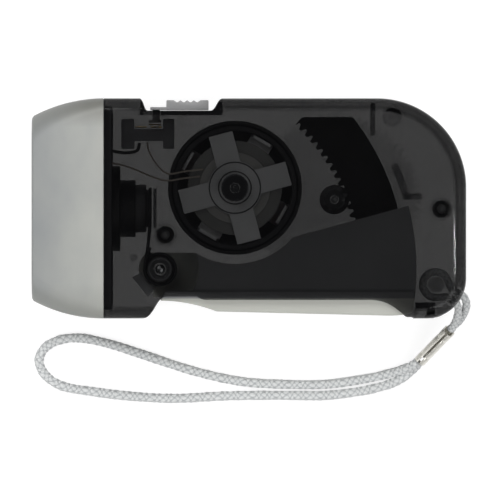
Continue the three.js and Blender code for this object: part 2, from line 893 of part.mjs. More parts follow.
function rearShell(shell) {
  const root = wall / 2;
  const peg_hole = peg_radius + seat_gap;
  const stop_peg = { x: pivot.x - stop_peg_x, y: pivot.y + stop_peg_y };
  const solidShell = join(
    shell.intersect(block(-body_length, body_length, -body_height, body_height, 0, middle)),
    boss(axle_boss_radius, root, wall + rear_boss_height, rotor),
    boss(axle_boss_radius, root, wall + rear_boss_height, gear),
    boss(hub_radius, root, wall + rear_boss_height / 2, pivot),
    boss(screw_boss_radius, root, middle, front_screw),
    boss(screw_boss_radius, root, middle, tail_screw),
    boss(screw_collar_radius, root, screw_collar_height, front_screw),
    boss(screw_collar_radius, root, screw_collar_height, tail_screw),
    boss(strap_post_radius, root, middle, strap_post),
    boss(peg_hole + wall / 2, root, middle - seat_gap, peg, peg_hole, wall),
    boss(stop_peg_radius, root, z_lever + heel_thickness, stop_peg),
    contactRib(root, middle),
    block(
      half_length - far_rib_x,
      half_length - far_rib_x + far_rib_width,
      half_height - wall - far_rib_depth,
      half_height - wall / 2,
      root,
      far_rib_height,
    ),
  );
  const sink = screw_head_sink + screw_head_height + seat_gap;
  const bores = [
    cylinder(rotor_axle_radius + bearing_gap, wall, middle, rotor),
    cylinder(gear_pin_radius + bearing_gap, wall, middle, gear),
    cylinder(pivot_pin_radius + bearing_gap, wall, middle, pivot),
    cylinder(screw_radius + seat_gap, 0, middle + cut_overrun, front_screw),
    cylinder(screw_radius + seat_gap, 0, middle + cut_overrun, tail_screw),
    cylinder(screw_head_radius + seat_gap, -cut_overrun, sink, front_screw),
    cylinder(screw_head_radius + seat_gap, -cut_overrun, sink, tail_screw),
  ];
  return cut(solidShell, ...bores);
}

// Points of a rounded rectangle in Y and Z, always as many
function roundedRing(half_y, half_z, corner, steps) {
  const ring = [];
  for (let side = 0; side < 4; side++) {
    const along_y = side === 0 || side === 3 ? 1 : -1;
    const along_z = side < 2 ? 1 : -1;
    for (let i = 0; i <= steps; i++) {
      const angle = ((side + i / steps) * Math.PI) / 2;
      ring.push([
        along_y * (half_y - corner) + corner * Math.cos(angle),
        along_z * (half_z - corner) + corner * Math.sin(angle),
      ]);
    }
  }
  return ring;
}

// A solid through rings of [y, z] points, one ring at each x
function loft(rings) {
  const points = [];
  const corners = [];
  const size = rings[0].ring.length;
  for (const { x, ring } of rings) {
    for (const [y, z] of ring) points.push(x, y, middle + z);
  }
  points.push(rings[0].x, 0, middle, rings[rings.length - 1].x, 0, middle);
  const first = rings.length * size;
  for (let k = 0; k + 1 < rings.length; k++) {
    for (let i = 0; i < size; i++) {
      const j = (i + 1) % size;
      const a = k * size;
      corners.push(a + i, a + j, a + size + i, a + j, a + size + j, a + size + i);
    }
  }
  for (let i = 0; i < size; i++) {
    const j = (i + 1) % size;
    corners.push(first, j, i, first + 1, first - size + i, first - size + j);
  }
  const geometry = new THREE.BufferGeometry();
  geometry.setAttribute("position", new THREE.Float32BufferAttribute(points, 3));
  geometry.setIndex(corners);
  return solid(geometry);
}

// How far the head's silhouette has drawn in at a place along it
function headDrop(x) {
  const run = joint_x - x;
  return head_front_radius - Math.sqrt(head_front_radius ** 2 - run ** 2);
}

function headRing(x, inset) {
  const share = (joint_x - x) / head_length;
  const drop = headDrop(x);
  const corner = edge_radius + (head_front_corner - edge_radius) * share - inset;
  return roundedRing(
    half_height - drop - inset,
    middle - drop * head_side_share - inset,
    Math.max(corner, edge_radius / 3),
    corner_steps,
  );
}

function headSection(x, inset) {
  return { x, ring: headRing(x, inset) };
}

const lens_front = -half_length + lens_inset;
const lens_back = lens_front + lens_thickness;
const lens_rim = head_wall - lens_seat + seat_gap;
const bowl_front = lens_back + head_wall / 2 + seat_gap;
const ring_start = joint_x - head_ring_length;
const carrier_front = ring_start - seat_gap - carrier_plate;
const bowl_back = carrier_front - bowl_gap;
const bowl_depth = bowl_back - bowl_front;
const board_front = carrier_front + carrier_plate + led_board_thickness;

function headBezel() {
  const sections = [];
  for (let i = 0; i < head_steps; i++) {
    sections.push(headSection(joint_x - ((head_length - head_rim_round) * i) / head_steps, 0));
  }
  sections.push(headSection(head_rim_round - half_length, 0));
  sections.push(headSection(-half_length + head_rim_round / 4, head_rim_round / 3));
  sections.push(headSection(-half_length, head_rim_round));
  const outside = loft(sections.reverse());
  const room = loft([
    headSection(lens_back + head_wall / 2, head_wall),
    headSection((lens_back + joint_x) / 2, head_wall),
    headSection(ring_start, head_wall),
  ]);
  const window = loft([
    headSection(-half_length - cut_overrun, head_wall + lens_seat),
    headSection(ring_start, head_wall + lens_seat),
  ]);
  const pocket_ring = headRing(lens_front, lens_rim - seat_gap + lens_seat);
  const pocket = loft([
    { x: -half_length - cut_overrun, ring: pocket_ring },
    { x: lens_back + seat_gap, ring: pocket_ring },
  ]);
  const spigot_inset = wall + seat_gap;
  const spigot = loft([
    { x: ring_start, ring: headRing(joint_x, spigot_inset) },
    { x: joint_x + spigot_length, ring: headRing(joint_x, spigot_inset) },
  ]);
  const passage = loft([
    {
      x: ring_start - cut_overrun / 2,
      ring: headRing(joint_x, spigot_inset + spigot_wall),
    },
    {
      x: joint_x + spigot_length + cut_overrun,
      ring: headRing(joint_x, spigot_inset + spigot_wall),
    },
  ]);
  return cut(outside.add(spigot), room, window, pocket, passage);
}

function lens() {
  const ring = headRing(lens_front, lens_rim + lens_seat);
  return loft([
    { x: lens_front, ring },
    { x: lens_back, ring },
  ]);
}

// The mirrored bowl with its oval flange behind the lens
function reflector() {
  const inset = head_wall + seat_gap;
  const flange = loft([
    { x: bowl_front, ring: headRing(bowl_front, inset) },
    { x: bowl_front + bowl_flange, ring: headRing(bowl_front, inset) },
  ]);
  const outside = [[0, bowl_front]];
  const inside = [[0, bowl_front - cut_overrun]];
  inside.push([bowl_front_radius, bowl_front - cut_overrun]);
  for (let i = 0; i <= bowl_steps; i++) {
    const share = i / bowl_steps;
    const x = bowl_front + bowl_depth * share;
    const radius = bowlRadius(share);
    outside.push([radius + reflector_wall, x]);
    if (i < bowl_steps) inside.push([radius, x]);
  }
  outside.push([0, bowl_back]);
  const floor = bowl_back - reflector_wall;
  inside.push([bowlRadius(1), floor], [0, floor]);
  const bowl = turnedAlongX(outside, cell_sides).add(flange);
  return cut(bowl, turnedAlongX(inside, cell_sides), ...ledPlaces().map(({ y, z }) => ledHole(y, z)));
}

function bowlRadius(share) {
  return bowl_back_radius + (bowl_front_radius - bowl_back_radius) * Math.sqrt(1 - share);
}

function ledHole(y, z) {
  const radius = led_radius + seat_gap;
  const profile = [
    [0, bowl_back - cut_overrun],
    [radius, bowl_back - cut_overrun],
    [radius, bowl_back + cut_overrun],
    [0, bowl_back + cut_overrun],
  ];
  return turnedAlongX(profile, small_sides, y, z);
}

// Where the lamps stand round the head's axis
function ledPlaces() {
  const places = [];
  for (let i = 0; i < led_count; i++) {
    const angle = Math.PI / 2 + (2 * Math.PI * i) / led_count;
    places.push({
      y: led_ring_radius * Math.sin(angle),
      z: middle + led_ring_radius * Math.cos(angle),
    });
  }
  return places;
}

function led({ y, z }) {
  const foot = board_front - led_board_thickness - seat_gap;
  const dome = foot - led_length + led_radius;
  const profile = [
    [0, foot],
    [led_flange_radius, foot],
    [led_flange_radius, foot - led_flange],
    [led_radius, foot - led_flange],
  ];
  for (let i = 0; i < dome_steps; i++) {
    const angle = (i / dome_steps) * (Math.PI / 2);
    profile.push([led_radius * Math.cos(angle), dome - led_radius * Math.sin(angle)]);
  }
  profile.push([0, dome - led_radius]);
  return turnedAlongX(profile, small_sides, y, z);
}

function ledBoard() {
  return turnedAlongX(
    [
      [0, board_front - led_board_thickness],
      [led_board_radius, board_front - led_board_thickness],
      [led_board_radius, board_front],
      [0, board_front],
    ],
    bore_sides,
  );
}

// The black carrier: a plate in the head, a round body in the neck and the cell socket behind
function lampCarrier() {
  const inset = head_wall + seat_gap;
  const plate = loft([
    { x: carrier_front, ring: headRing(carrier_front, inset) },
    { x: carrier_front + carrier_plate, ring: headRing(carrier_front, inset) },
  ]);
  const body_end = joint_x + carrier_body_end;
  const body = turnedAlongX([
    [0, carrier_front],
    [carrier_radius, carrier_front],
    [carrier_radius, body_end],
    [socket_radius, body_end],
    [socket_radius, joint_x + socket_end],
    [0, joint_x + socket_end],
  ]);
  const bore = turnedAlongX(
    [
      [0, carrier_front - cut_overrun],
      [led_board_radius + seat_gap, carrier_front - cut_overrun],
      [led_board_radius + seat_gap, board_front + seat_gap],
      [cell_radius + seat_gap, board_front + seat_gap],
      [cell_radius + seat_gap, joint_x + socket_end + cut_overrun],
      [0, joint_x + socket_end + cut_overrun],
    ],
    bore_sides,
  );
  return plate.add(body).subtract(bore);
}

const cells_start = board_front + 2 * seat_gap;
const contact_x = cells_start + cell_count * (cell_length + seat_gap);

function buttonCell(start) {
  const can = start + cell_length - cell_cap;
  return turnedAlongX(
    [
      [0, start],
      [cell_radius, start],
      [cell_radius, can],
      [cell_cap_radius, can],
      [cell_cap_radius, start + cell_length],
      [0, start + cell_length],
    ],
    cell_sides,
  );
}

function endContact() {
  const x = contact_x;
  return turnedAlongX(
    [
      [0, x],
      [contact_radius, x],
      [contact_radius, x + contact_thickness],
      [0, x + contact_thickness],
    ],
    contact_sides,
  );
}

// Where the toothed flank of a gear stands at a radius, as an angle from the tooth's middle
function toothHalfAngle(teeth, module, radius, slack) {
  const pitch = (teeth * module) / 2;
  const base = pitch * Math.cos(pressure_angle * degrees);
  const involute = (angle) => Math.tan(angle) - angle;
  const at_radius = Math.acos(Math.min(1, base / Math.max(radius, base)));
  return (
    Math.PI / (2 * teeth) -
    slack / pitch +
    involute(pressure_angle * degrees) -
    involute(at_radius)
  );
}

// The points of one tooth, from its root on one side over its tip to its root on the other
function toothPoints(teeth, module, root, tip, slack, middle_angle, steps) {
  const points = [];
  for (let i = 0; i <= steps; i++) {
    const radius = root + ((tip - root) * i) / steps;
    const half = toothHalfAngle(teeth, module, radius, slack);
    points.push([radius, middle_angle - half]);
  }
  for (let i = steps; i >= 0; i--) {
    const radius = root + ((tip - root) * i) / steps;
    const half = toothHalfAngle(teeth, module, radius, slack);
    points.push([radius, middle_angle + half]);
  }
  return points.map(([r, a]) => [r * Math.cos(a), r * Math.sin(a)]);
}

// A whole outer gear, with a tooth centred on the given angle
function gearOutline(teeth, module, tip_share, root_share, first_angle, steps) {
  const pitch = (teeth * module) / 2;
  const points = [];
  for (let i = 0; i < teeth; i++) {
    const angle = first_angle * degrees + (2 * Math.PI * i) / teeth;
    points.push(
      ...toothPoints(
        teeth,
        module,
        pitch - root_share * module,
        pitch + tip_share * module,
        tooth_slack,
        angle,
        steps,
      ),
    );
  }
  return shapeOf(points);
}

// The lever's toothed sector: teeth on its inner edge, a plain back, and a foot behind the lever
function sectorGear() {
  const pitch_angle = 360 / sector_full_teeth;
  const first = Math.ceil((sector_first_angle - gear_axle_angle) / pitch_angle);
  const last = Math.floor((sector_last_angle - gear_axle_angle) / pitch_angle);
  const points = [
    aboutPivot(sector_back_radius, sector_foot_angle),
    ...arcPoints(sector_back_radius, sector_foot_angle, sector_last_angle, sector_back_steps),
  ];
  for (let i = last; i >= first; i--) {
    points.push(
      ...toothPoints(
        sector_full_teeth,
        sector_module,
        sector_radius - sector_tip_share * sector_module,
        sector_radius + sector_root_share * sector_module,
        -tooth_slack,
        (gear_axle_angle + i * pitch_angle) * degrees,
        flank_steps,
      ).reverse(),
    );
  }
  const tip = sector_radius - sector_tip_share * sector_module;
  points.push(aboutPivot(tip, sector_first_angle - pitch_angle / 2));
  points.push(aboutPivot(sector_foot_inner, sector_first_angle - pitch_angle));
  points.push(aboutPivot(sector_foot_inner, sector_foot_angle));
  const full = prism(shapeOf(points), z_sector, z_sector_top);
  const top = half_height - wall - sector_top_gap - pivot.y;
  const trimmed = full.subtract(
    block(0, body_length, top, body_length, 0, body_thickness),
  );
  return cut(trimmed, ...sectorScrewPlaces().map((at) => screwHole(at)));
}

function screwHole(at) {
  return cylinder(sector_screw_radius + seat_gap, 0, body_thickness, at);
}

function aboutPivot(radius, angle) {
  return [radius * Math.cos(angle * degrees), radius * Math.sin(angle * degrees)];
}

function arcPoints(radius, from, to, steps) {
  const points = [];
  for (let i = 1; i <= steps; i++) {
    points.push(aboutPivot(radius, from + ((to - from) * i) / steps));
  }
  return points;
}

// The two screws through the sector's foot, about the pivot
function sectorScrewPlaces() {
  const middle_angle = (sector_foot_angle + lever_end_angle) / 2;
  const spread = (lever_end_angle - sector_foot_angle) / 5;
  return [
    around({ x: 0, y: 0 }, sector_back_radius - sector_screw_inset, middle_angle - spread),
    around({ x: 0, y: 0 }, sector_back_radius - sector_screw_inset, middle_angle + spread),
  ];
}

function sectorScrew(at) {
  const head = z_sector - seat_gap - sector_screw_head;
  return cylinder(sector_screw_head_radius, head, z_sector - seat_gap, at).add(
    cylinder(sector_screw_radius, head, head + sector_screw_length, at),
  );
}

// The lever's region above the grip, about the pivot, drawn in by an inset
function leverRegion(inset, z0, z1) {
  const at_start = aboutPivot(lever_length / 3, lever_start_angle);
  const at_end = aboutPivot(lever_length + cut_overrun, lever_end_angle);
  const top = lever_top_gap - inset;
  const rotor_x = rotor.x - pivot.x;
  const outline = shapeOf([
    [lever_start + inset, top],
    [rotor_x, top],
    [at_start[0], at_start[1] - inset],
    [at_end[0], at_end[1] - inset],
    [at_end[0], -grip_top - cut_overrun / 2 - inset],
    [lever_start + inset, -grip_top - cut_overrun / 2 - inset],
  ]);
  const reach = rotor_radius + lever_rotor_gap + inset;
  const bite = cylinder(reach, 0, body_thickness, {
    x: rotor.x - pivot.x,
    y: rotor.y - pivot.y,
  });
  const end = cylinder(lever_length - inset, 0, body_thickness, undefined, most_sides);
  return prism(outline, z0, z1).intersect(end).subtract(bite);
}

// The lower edge that the hand squeezes, about the pivot
function gripOutline() {
  const shoulder = { x: lever_start + grip_shoulder_run, y: -grip_shoulder_drop };
  const toe = { x: lever_length - grip_toe_back, y: -grip_toe_drop };
  const tip = { x: Math.sqrt(lever_length ** 2 - grip_shoulder_drop ** 2), y: -grip_shoulder_drop };
  const high = Math.sqrt(lever_length ** 2 - grip_top ** 2);
  const outline = new THREE.Shape();
  outline.moveTo(lever_start, -grip_top);
  outline.lineTo(0, -grip_heel_drop);
  outline.quadraticCurveTo(shoulder.x / 2, -grip_heel_drop, shoulder.x, shoulder.y);
  outline.lineTo(toe.x, toe.y);
  outline.quadraticCurveTo(tip.x - grip_bevel, toe.y, tip.x, tip.y);
  outline.lineTo(high, -grip_top);
  outline.closePath();
  return outline;
}

function lever() {
  const z0 = middle - lever_width / 2;
  const z1 = middle + lever_width / 2;
  const grip = softPrism(gripOutline(), z0, z1, grip_bevel, hollow_steps, rib_steps);
  const tray = leverRegion(0, z_lever, z_lever_top).subtract(
    leverRegion(lever_wall, z_lever - cut_overrun, z_lever_top - lever_face),
  );
  const disc_room = cylinder(hub_disc_radius, z_hub_disc_top, body_thickness);
  const low = -grip_top - lever_wall;
  const disc = cylinder(hub_disc_radius, z_lever, z_hub_disc_top).intersect(
    block(lever_start - hub_radius, body_length, low, lever_top_gap, 0, body_thickness),
  );
  const root = cylinder(hub_root_radius, z_lever, z_hub_disc_top).intersect(
    block(-hub_root_radius, hub_root_radius, -grip_top, lever_top_gap, 0, body_thickness),
  );
  const heel = prism(heelOutline(), z_lever, z_lever + heel_thickness);
  const tube_start = wall + rear_boss_height / 2 + bearing_gap;
  const tube_end = z_lever_top - bearing_gap;
  const hub = cylinder(hub_radius, tube_start, tube_end, undefined, small_sides);
  const posts = sectorScrewPlaces().map((at) =>
    cylinder(sector_screw_head_radius, z_lever, z_lever_top - lever_face / 2, at),
  );
  const sunk = sectorScrewPlaces().map((at) =>
    cylinder(
      sector_screw_radius + seat_gap,
      0,
      z_sector + sector_screw_length - sector_screw_head + seat_gap,
      at,
    ),
  );
  const shell = tray.subtract(disc_room);
  const squeezed = grip.subtract(leverTrough());
  const spring_room = spring_inner_radius + spring_wire + seat_gap;
  const body = join(shell, squeezed, disc, root, heel, hub, ...posts);
  return cut(
    body,
    ...sunk,
    catchNotch(),
    cylinder(pivot_pin_radius + bearing_gap, 0, body_thickness, undefined, small_sides),
    cylinder(spring_room, z_hub_disc_top, tube_end).subtract(
      cylinder(hub_radius, 0, body_thickness, undefined, small_sides),
    ),
  );
}

// The hollow inside the grip, open towards the body
function leverTrough() {
  const z0 = middle - lever_width / 2 + lever_wall;
  const bottom = grip_floor - grip_shoulder_drop;
  const end = lever_length - catch_depth - 2 * lever_wall;
  return block(hub_disc_radius + lever_wall, end, bottom, 0, z0, z_lever_top - lever_face);
}

function heelOutline() {
  const far = hub_root_radius + lever_wall;
  return shapeOf([
    [-hub_radius, 0],
    [-far, -hub_radius * (2 / 3)],
    [-hub_radius, -far],
    [0, -hub_radius],
  ]);
}

// The notch in the lever's end that the lock's nose slides into
function catchNotch() {
  const x = Math.sqrt(lever_length ** 2 - catch_rise ** 2);
  return block(
    x - catch_depth,
    x + cut_overrun,
    -catch_rise - catch_height / 2,
    -catch_rise + catch_height / 2,
    middle - catch_width / 2,
    middle + catch_width / 2,
  );
}

// The lock slides along X: a ridged button outside, a stem through the wall and a nose inside
function leverLock() {
  const floor = lock_recess_depth - half_height;
  const nose_y = pivot.y - catch_rise;
  const stem_x = lock_x + 1.5 * seat_gap;
  const button = block(
    lock_x,
    lock_x + lock_button_length,
    floor - seat_gap - lock_button_height,
    floor - seat_gap,
    middle - lock_button_width / 2,
    middle + lock_button_width / 2,
  );
  const stem = block(
    stem_x,
    stem_x + lock_stem_length - seat_gap,
    floor - seat_gap - lock_button_height / 2,
    nose_y + lock_nose_height / 2,
    middle - lock_stem_width / 2,
    middle + lock_stem_width / 2,
  );
  const nose = block(
    stem_x - lock_nose_length + lock_stem_length / 2,
    stem_x + lock_stem_length / 2,
    nose_y - lock_nose_height / 2,
    nose_y + lock_nose_height / 2,
    middle - lock_stem_width / 2,
    middle + lock_stem_width / 2,
  );
  const pitch = lock_button_length / (lock_ridges + 1);
  const grooves = [];
  for (let i = 1; i <= lock_ridges; i++) {
    grooves.push(
      block(
        lock_x + i * pitch - pitch / 6,
        lock_x + i * pitch + pitch / 6,
        -half_height,
        floor - seat_gap - lock_button_height / 2,
        0,
        body_thickness,
      ),
    );
  }
  return cut(join(button, stem, nose), ...grooves);
}

// The large wheel: a toothed rim, a thinner web and a hub
function largeWheel() {
  const rim = prism(
    gearOutline(
      wheel_teeth,
      wheel_module,
      wheel_tip_share,
      wheel_root_share,
      rotor_angle,
      wheel_flank_steps,
    ),
    z_wheel,
    z_wheel_top,
  );
  const root = wheel_radius - wheel_root_share * wheel_module;
  const sink = (wheel_thickness - wheel_web) / 2;
  const hollow = (z0, z1) =>
    cylinder(root - wheel_rim, z0, z1).subtract(cylinder(wheel_hub_radius, z0, z1));
  return cut(
    rim.add(cylinder(wheel_hub_radius, z_hub, z_wheel_top + hub_rise)),
    hollow(z_wheel - cut_overrun, z_wheel + sink),
    hollow(z_wheel_top - sink, z_wheel_top + cut_overrun),
    cylinder(gear_pin_radius + bearing_gap, 0, body_thickness),
  );
}

function drivePinion() {
  const teeth = prism(
    gearOutline(
      pinion_teeth,
      sector_module,
      pinion_tip_share,
      pinion_root_share,
      gear_axle_angle,
      pinion_flank_steps,
    ),
    z_pinion + pinion_flange / 2,
    z_pinion_top,
  );
  return cut(
    teeth.add(cylinder(pinion_flange_radius, z_pinion, z_pinion + pinion_flange)),
    cylinder(gear_pin_radius + bearing_gap, 0, body_thickness),
  );
}

// The rotor's pinion has a tooth space on the line to the large wheel
function rotorPinion() {
  const space = rotor_angle + 180 + 180 / rotor_pinion_teeth;
  const teeth = prism(
    gearOutline(
      rotor_pinion_teeth,
      wheel_module,
      pinion_tip_share,
      wheel_root_share,
      space,
      flank_steps,
    ),
    z_hub,
    z_wheel_top + hub_rise / 2,
  );
  return teeth.subtract(cylinder(rotor_axle_radius + bearing_gap, 0, body_thickness));
}

function rotorCup() {
  const hub_start = z_wheel_top + hub_rise / 2 + seat_gap;
  const bore = rotor_axle_radius + bearing_gap;
  return turned([
    [bore, hub_start],
    [rotor_hub_radius, hub_start],
    [rotor_hub_radius, z_cup],
    [rotor_radius, z_cup],
    [rotor_radius, z_cup_top],
    [rotor_radius - rotor_wall, z_cup_top],
    [rotor_radius - rotor_wall, z_cup + rotor_plate],
    [bore, z_cup + rotor_plate],
    [bore, hub_start],
  ]);
}

function ringMagnet() {
  const outer = rotor_radius - rotor_wall - seat_gap;
  const z0 = z_cup + rotor_plate + seat_gap;
  return cylinder(outer, z0, z_cup_top).subtract(
    cylinder(outer - magnet_thickness, 0, body_thickness),
  );
}

// One claw plate: a hub, four arms, and a claw bent square from the end of each arm
function clawPlate(z, towards, turn) {
  const z_end = z + towards * (bobbin_length + 2 * seat_gap + claw_plate - claw_short);
  const [low, high] = towards > 0 ? [z, z + claw_plate] : [z, z + claw_plate];
  const hub = cylinder(claw_hub_radius, low, high);
  const arms = [];
  for (let i = 0; i < claw_count; i++) {
    const arm = block(0, claw_radius - claw_plate / 3, -claw_width / 2, claw_width / 2, low, high);
    const claw = clawOf(towards > 0 ? low : high, z_end);
    arms.push(arm.add(claw).rotate([0, 0, turn + (360 * i) / claw_count]));
  }
  return join(hub, ...arms)
    .intersect(cylinder(claw_radius, 0, body_thickness))
    .subtract(cylinder(axle_boss_radius + seat_gap, 0, body_thickness));
}

// A claw that narrows towards its tip, standing on the end of an arm
function clawOf(z_root, z_tip) {
  const outline = shapeOf([
    [-claw_width / 2, z_root],
    [claw_width / 2, z_root],
    [claw_tip_width / 2, z_tip],
    [-claw_tip_width / 2, z_tip],
  ]);
  const geometry = new THREE.ExtrudeGeometry(outline, { depth: claw_plate, bevelEnabled: false });
  geometry.rotateX(Math.PI / 2);
  geometry.rotateZ(Math.PI / 2);
  geometry.translate(claw_radius - claw_plate, 0, 0);
  return solid(geometry);
}

function coilBobbin() {
  const bore = axle_boss_radius + seat_gap;
  return turned([
    [bore, z_bobbin],
    [bobbin_radius, z_bobbin],
    [bobbin_radius, z_bobbin + bobbin_flange],
    [bobbin_tube_radius, z_bobbin + bobbin_flange],
    [bobbin_tube_radius, z_bobbin_top - bobbin_flange],
    [bobbin_radius, z_bobbin_top - bobbin_flange],
    [bobbin_radius, z_bobbin_top],
    [bore, z_bobbin_top],
    [bore, z_bobbin],
  ]);
}

// The wound wire as one crowned ring between the bobbin's flanges, which hide its turns
function coilWinding() {
  const z0 = z_bobbin + bobbin_flange + seat_gap;
  const z1 = z_bobbin_top - bobbin_flange - seat_gap;
  const inner = bobbin_tube_radius + seat_gap;
  return turned([
    [inner, z0],
    [winding_radius - winding_crown, z0],
    [winding_radius, (z0 + z1) / 2],
    [winding_radius - winding_crown, z1],
    [inner, z1],
    [inner, z0],
  ]);
}

// The return spring's line: the fixed leg, the turns and the leg on the lever
function springLine() {
  const mean = spring_inner_radius + spring_wire / 2;
  const z0 = z_hub_disc_top + seat_gap + spring_wire / 2;
  const height = spring_turns * spring_pitch;
  const leg_x = -spring_leg_left;
  const points = [
    [leg_x, spring_leg_height, z0 + height],
    [leg_x, (2 * spring_leg_height) / 3, z0 + height],
    [leg_x - spring_wire / 2, spring_leg_height / 3, z0 + height],
  ];
  const turns = spring_turns * spring_steps;
  for (let i = 0; i <= turns; i++) {
    const angle = Math.PI - (2 * Math.PI * i) / spring_steps;
    points.push([
      mean * Math.cos(angle),
      -mean * Math.sin(angle),
      z0 + height - (height * i) / turns,
    ]);
  }
  points.push([-mean * (2 / 3), mean + spring_tail / 4, z0]);
  return points;
}

function torsionSpring() {
  const line = springLine();
  const steps = spring_turns * spring_steps + leg_steps;
  return tube(line, spring_wire / 2, spring_sides, steps);
}

// The least gap between a tube and itself, measured on its centre line away from each point
function leastGap(points, diameter, apart) {
  let least = Infinity;
  points.forEach(([x, y, z], i) => {
    for (let j = i + apart; j < points.length; j++) {
      const [u, v, w] = points[j];
      least = Math.min(least, Math.hypot(x - u, y - v, z - w) - diameter);
    }
  });
  return least;
}

// The switch knob: a ridged cap in the recess, a flat skirt, a stem through the floor and a foot
function switchKnob() {
  const x0 = joint_x + knob_left;
  const y0 = recess_y + seat_gap;
  const cap = block(
    x0,
    x0 + knob_length,
    y0,
    y0 + knob_height,
    middle - knob_width / 2,
    middle + knob_width / 2,
  );
  const skirt = block(
    x0 - knob_skirt_length,
    x0 + knob_length / 2,
    y0,
    y0 + knob_skirt,
    middle - knob_skirt_width / 2,
    middle + knob_skirt_width / 2,
  );
  const stem_x = joint_x + stem_left;
  const stem = block(
    stem_x,
    stem_x + stem_length,
    foot_bottom,
    y0 + knob_skirt,
    middle - stem_width / 2,
    middle + stem_width / 2,
  );
  const foot = block(
    stem_x + stem_length - foot_length + seat_gap,
    stem_x + stem_length + seat_gap,
    foot_bottom,
    foot_bottom + foot_height,
    middle - stem_width / 2,
    middle + stem_width / 2,
  );
  return cut(join(cap, skirt, stem, foot), ...knobGrooves(x0, y0 + knob_height));
}

function knobGrooves(x0, top) {
  const grooves = [];
  for (let i = 0; i < knob_ridges; i++) {
    const x = x0 + knob_ridge_start + i * knob_ridge_pitch;
    const outline = shapeOf([
      [x, top + knob_ridge_depth / 3],
      [x + knob_ridge_pitch / 2, top - knob_ridge_depth],
      [x + knob_ridge_pitch, top + knob_ridge_depth / 3],
    ]);
    grooves.push(prism(outline, -cut_overrun, body_thickness + cut_overrun));
  }
  return grooves;
}

const foot_bottom = recess_y - recess_wall - foot_drop - foot_height;
const contact_top = foot_bottom - 2 * seat_gap - wiper_thickness;
const bar_top = contact_top - wiper_thickness - seat_gap;

function switchWiper() {
  const end = joint_x + stem_left + stem_length + seat_gap;
  const top = foot_bottom - seat_gap;
  return block(
    end - foot_length,
    end,
    top - wiper_thickness,
    top,
    middle - stem_width / 2,
    middle + stem_width / 2,
  );
}

// The switch's fixed part: two blocks on a bar
function switchBase() {
  const x0 = joint_x + switch_left;
  const x1 = x0 + switch_length;
  const top = recess_y - recess_wall - switch_drop;
  const z0 = middle - switch_width / 2;
  const z1 = middle + switch_width / 2;
  return join(
    block(x0, x0 + switch_block_left, top - switch_height, top, z0, z1),
    block(x1 - switch_block_right, x1, top - switch_height, top, z0, z1),
    block(x0, x1, bar_top - switch_bar_height, bar_top, z0, z1),
  );
}

function switchContact(x0, x1) {
  return block(
    x0,
    x1,
    contact_top - wiper_thickness,
    contact_top,
    middle - stem_width,
    middle + stem_width,
  );
}

function shellScrew(at) {
  const head = screw_head_sink;
  const slot = block(
    at.x - screw_head_radius,
    at.x + screw_head_radius,
    at.y - screw_head_sink / 2,
    at.y + screw_head_sink / 2,
    0,
    head + screw_head_sink,
  );
  return cylinder(screw_head_radius, head, head + screw_head_height, at, small_sides)
    .add(cylinder(screw_radius, head, screw_length, at))
    .subtract(slot);
}

// The crimped sleeve along its own axis, with its seam left open on top
function crimpSection() {
  const inner = crimp_width / 2 - crimp_wall;
  const outer = crimp_width / 2;
  const lift = crimp_stack / 2;
  const start = crimp_seam / 2;
  const points = [];
  const sweep = (radius, from, to, y) => {
    for (let i = 0; i <= crimp_round_steps; i++) {
      const angle = from + ((to - from) * i) / crimp_round_steps;
      points.push([radius * Math.cos(angle), y + radius * Math.sin(angle)]);
    }
  };
  const half = Math.PI / 2;
  const lean = Math.asin(start / outer);
  const inner_lean = Math.asin(start / inner);
  sweep(outer, half + lean, Math.PI, lift);
  sweep(outer, Math.PI, 3 * half, -lift);
  sweep(outer, -half, 0, -lift);
  sweep(outer, 0, half - lean, lift);
  sweep(inner, half - inner_lean, 0, lift);
  sweep(inner, 0, -half, -lift);
  sweep(inner, -half, -Math.PI, -lift);
  sweep(inner, Math.PI, half + inner_lean, lift);
  return shapeOf(points);
}

// The crimp lies between the strap's two ends and the eye's two ends
function strapCrimp() {
  const loop = withCorner(strap_route);
  const eye = eyeRoute();
  const low = middleOf(loop[0], loop[loop.length - 1]);
  const high = middleOf(eye[0], eye[eye.length - 1]);
  const along = high.clone().sub(low);
  const length = along.length() - 2 * crimp_gap;
  along.normalize();
  const geometry = new THREE.ExtrudeGeometry(crimpSection(), {
    depth: length,
    bevelEnabled: false,
  });
  const side = new THREE.Vector3(0, 0, 1).cross(along).normalize();
  const up = along.clone().cross(side);
  const place = new THREE.Matrix4().makeBasis(side, up, along);
  place.setPosition(low.clone().addScaledVector(along, crimp_gap));
  geometry.applyMatrix4(place);
  return solid(geometry);
}

function middleOf(a, b) {
  return new THREE.Vector3(...a).add(new THREE.Vector3(...b)).divideScalar(2);
}

// A thin lead from a start point over the rotor's rim and down to the bobbin's flange
function coilLead(start, edge_angle, end_angle) {
  const high = z_cup_top + 3 * seat_gap + coil_wire_radius;
  const [x, y] = start[start.length - 1];
  const towards = Math.atan2(y - rotor.y, x - rotor.x) / degrees;
  const landing = around(rotor, (claw_hub_radius + bobbin_radius) / 2, towards + end_angle);
  const edge = around(rotor, rotor_radius + 2 * seat_gap, towards + edge_angle);
  return tube(
    [
      ...start,
      [edge.x, edge.y, high + coil_wire_radius],
      [(edge.x + landing.x) / 2, (edge.y + landing.y) / 2, high],
      [landing.x, landing.y, z_bobbin_top + seat_gap],
    ],
    coil_wire_radius,
    wire_sides,
    lead_steps,
  );
}

function addShells() {
  const body = housing();
  addPiece(torch, "front_shell", frontShell(body), smoked_clear);
  addPiece(torch, "rear_shell", rearShell(body), smoked_clear);
  addPiece(torch, "shell_screw_front", shellScrew(front_screw), steel);
  addPiece(torch, "shell_screw_tail", shellScrew(tail_screw), steel);
}

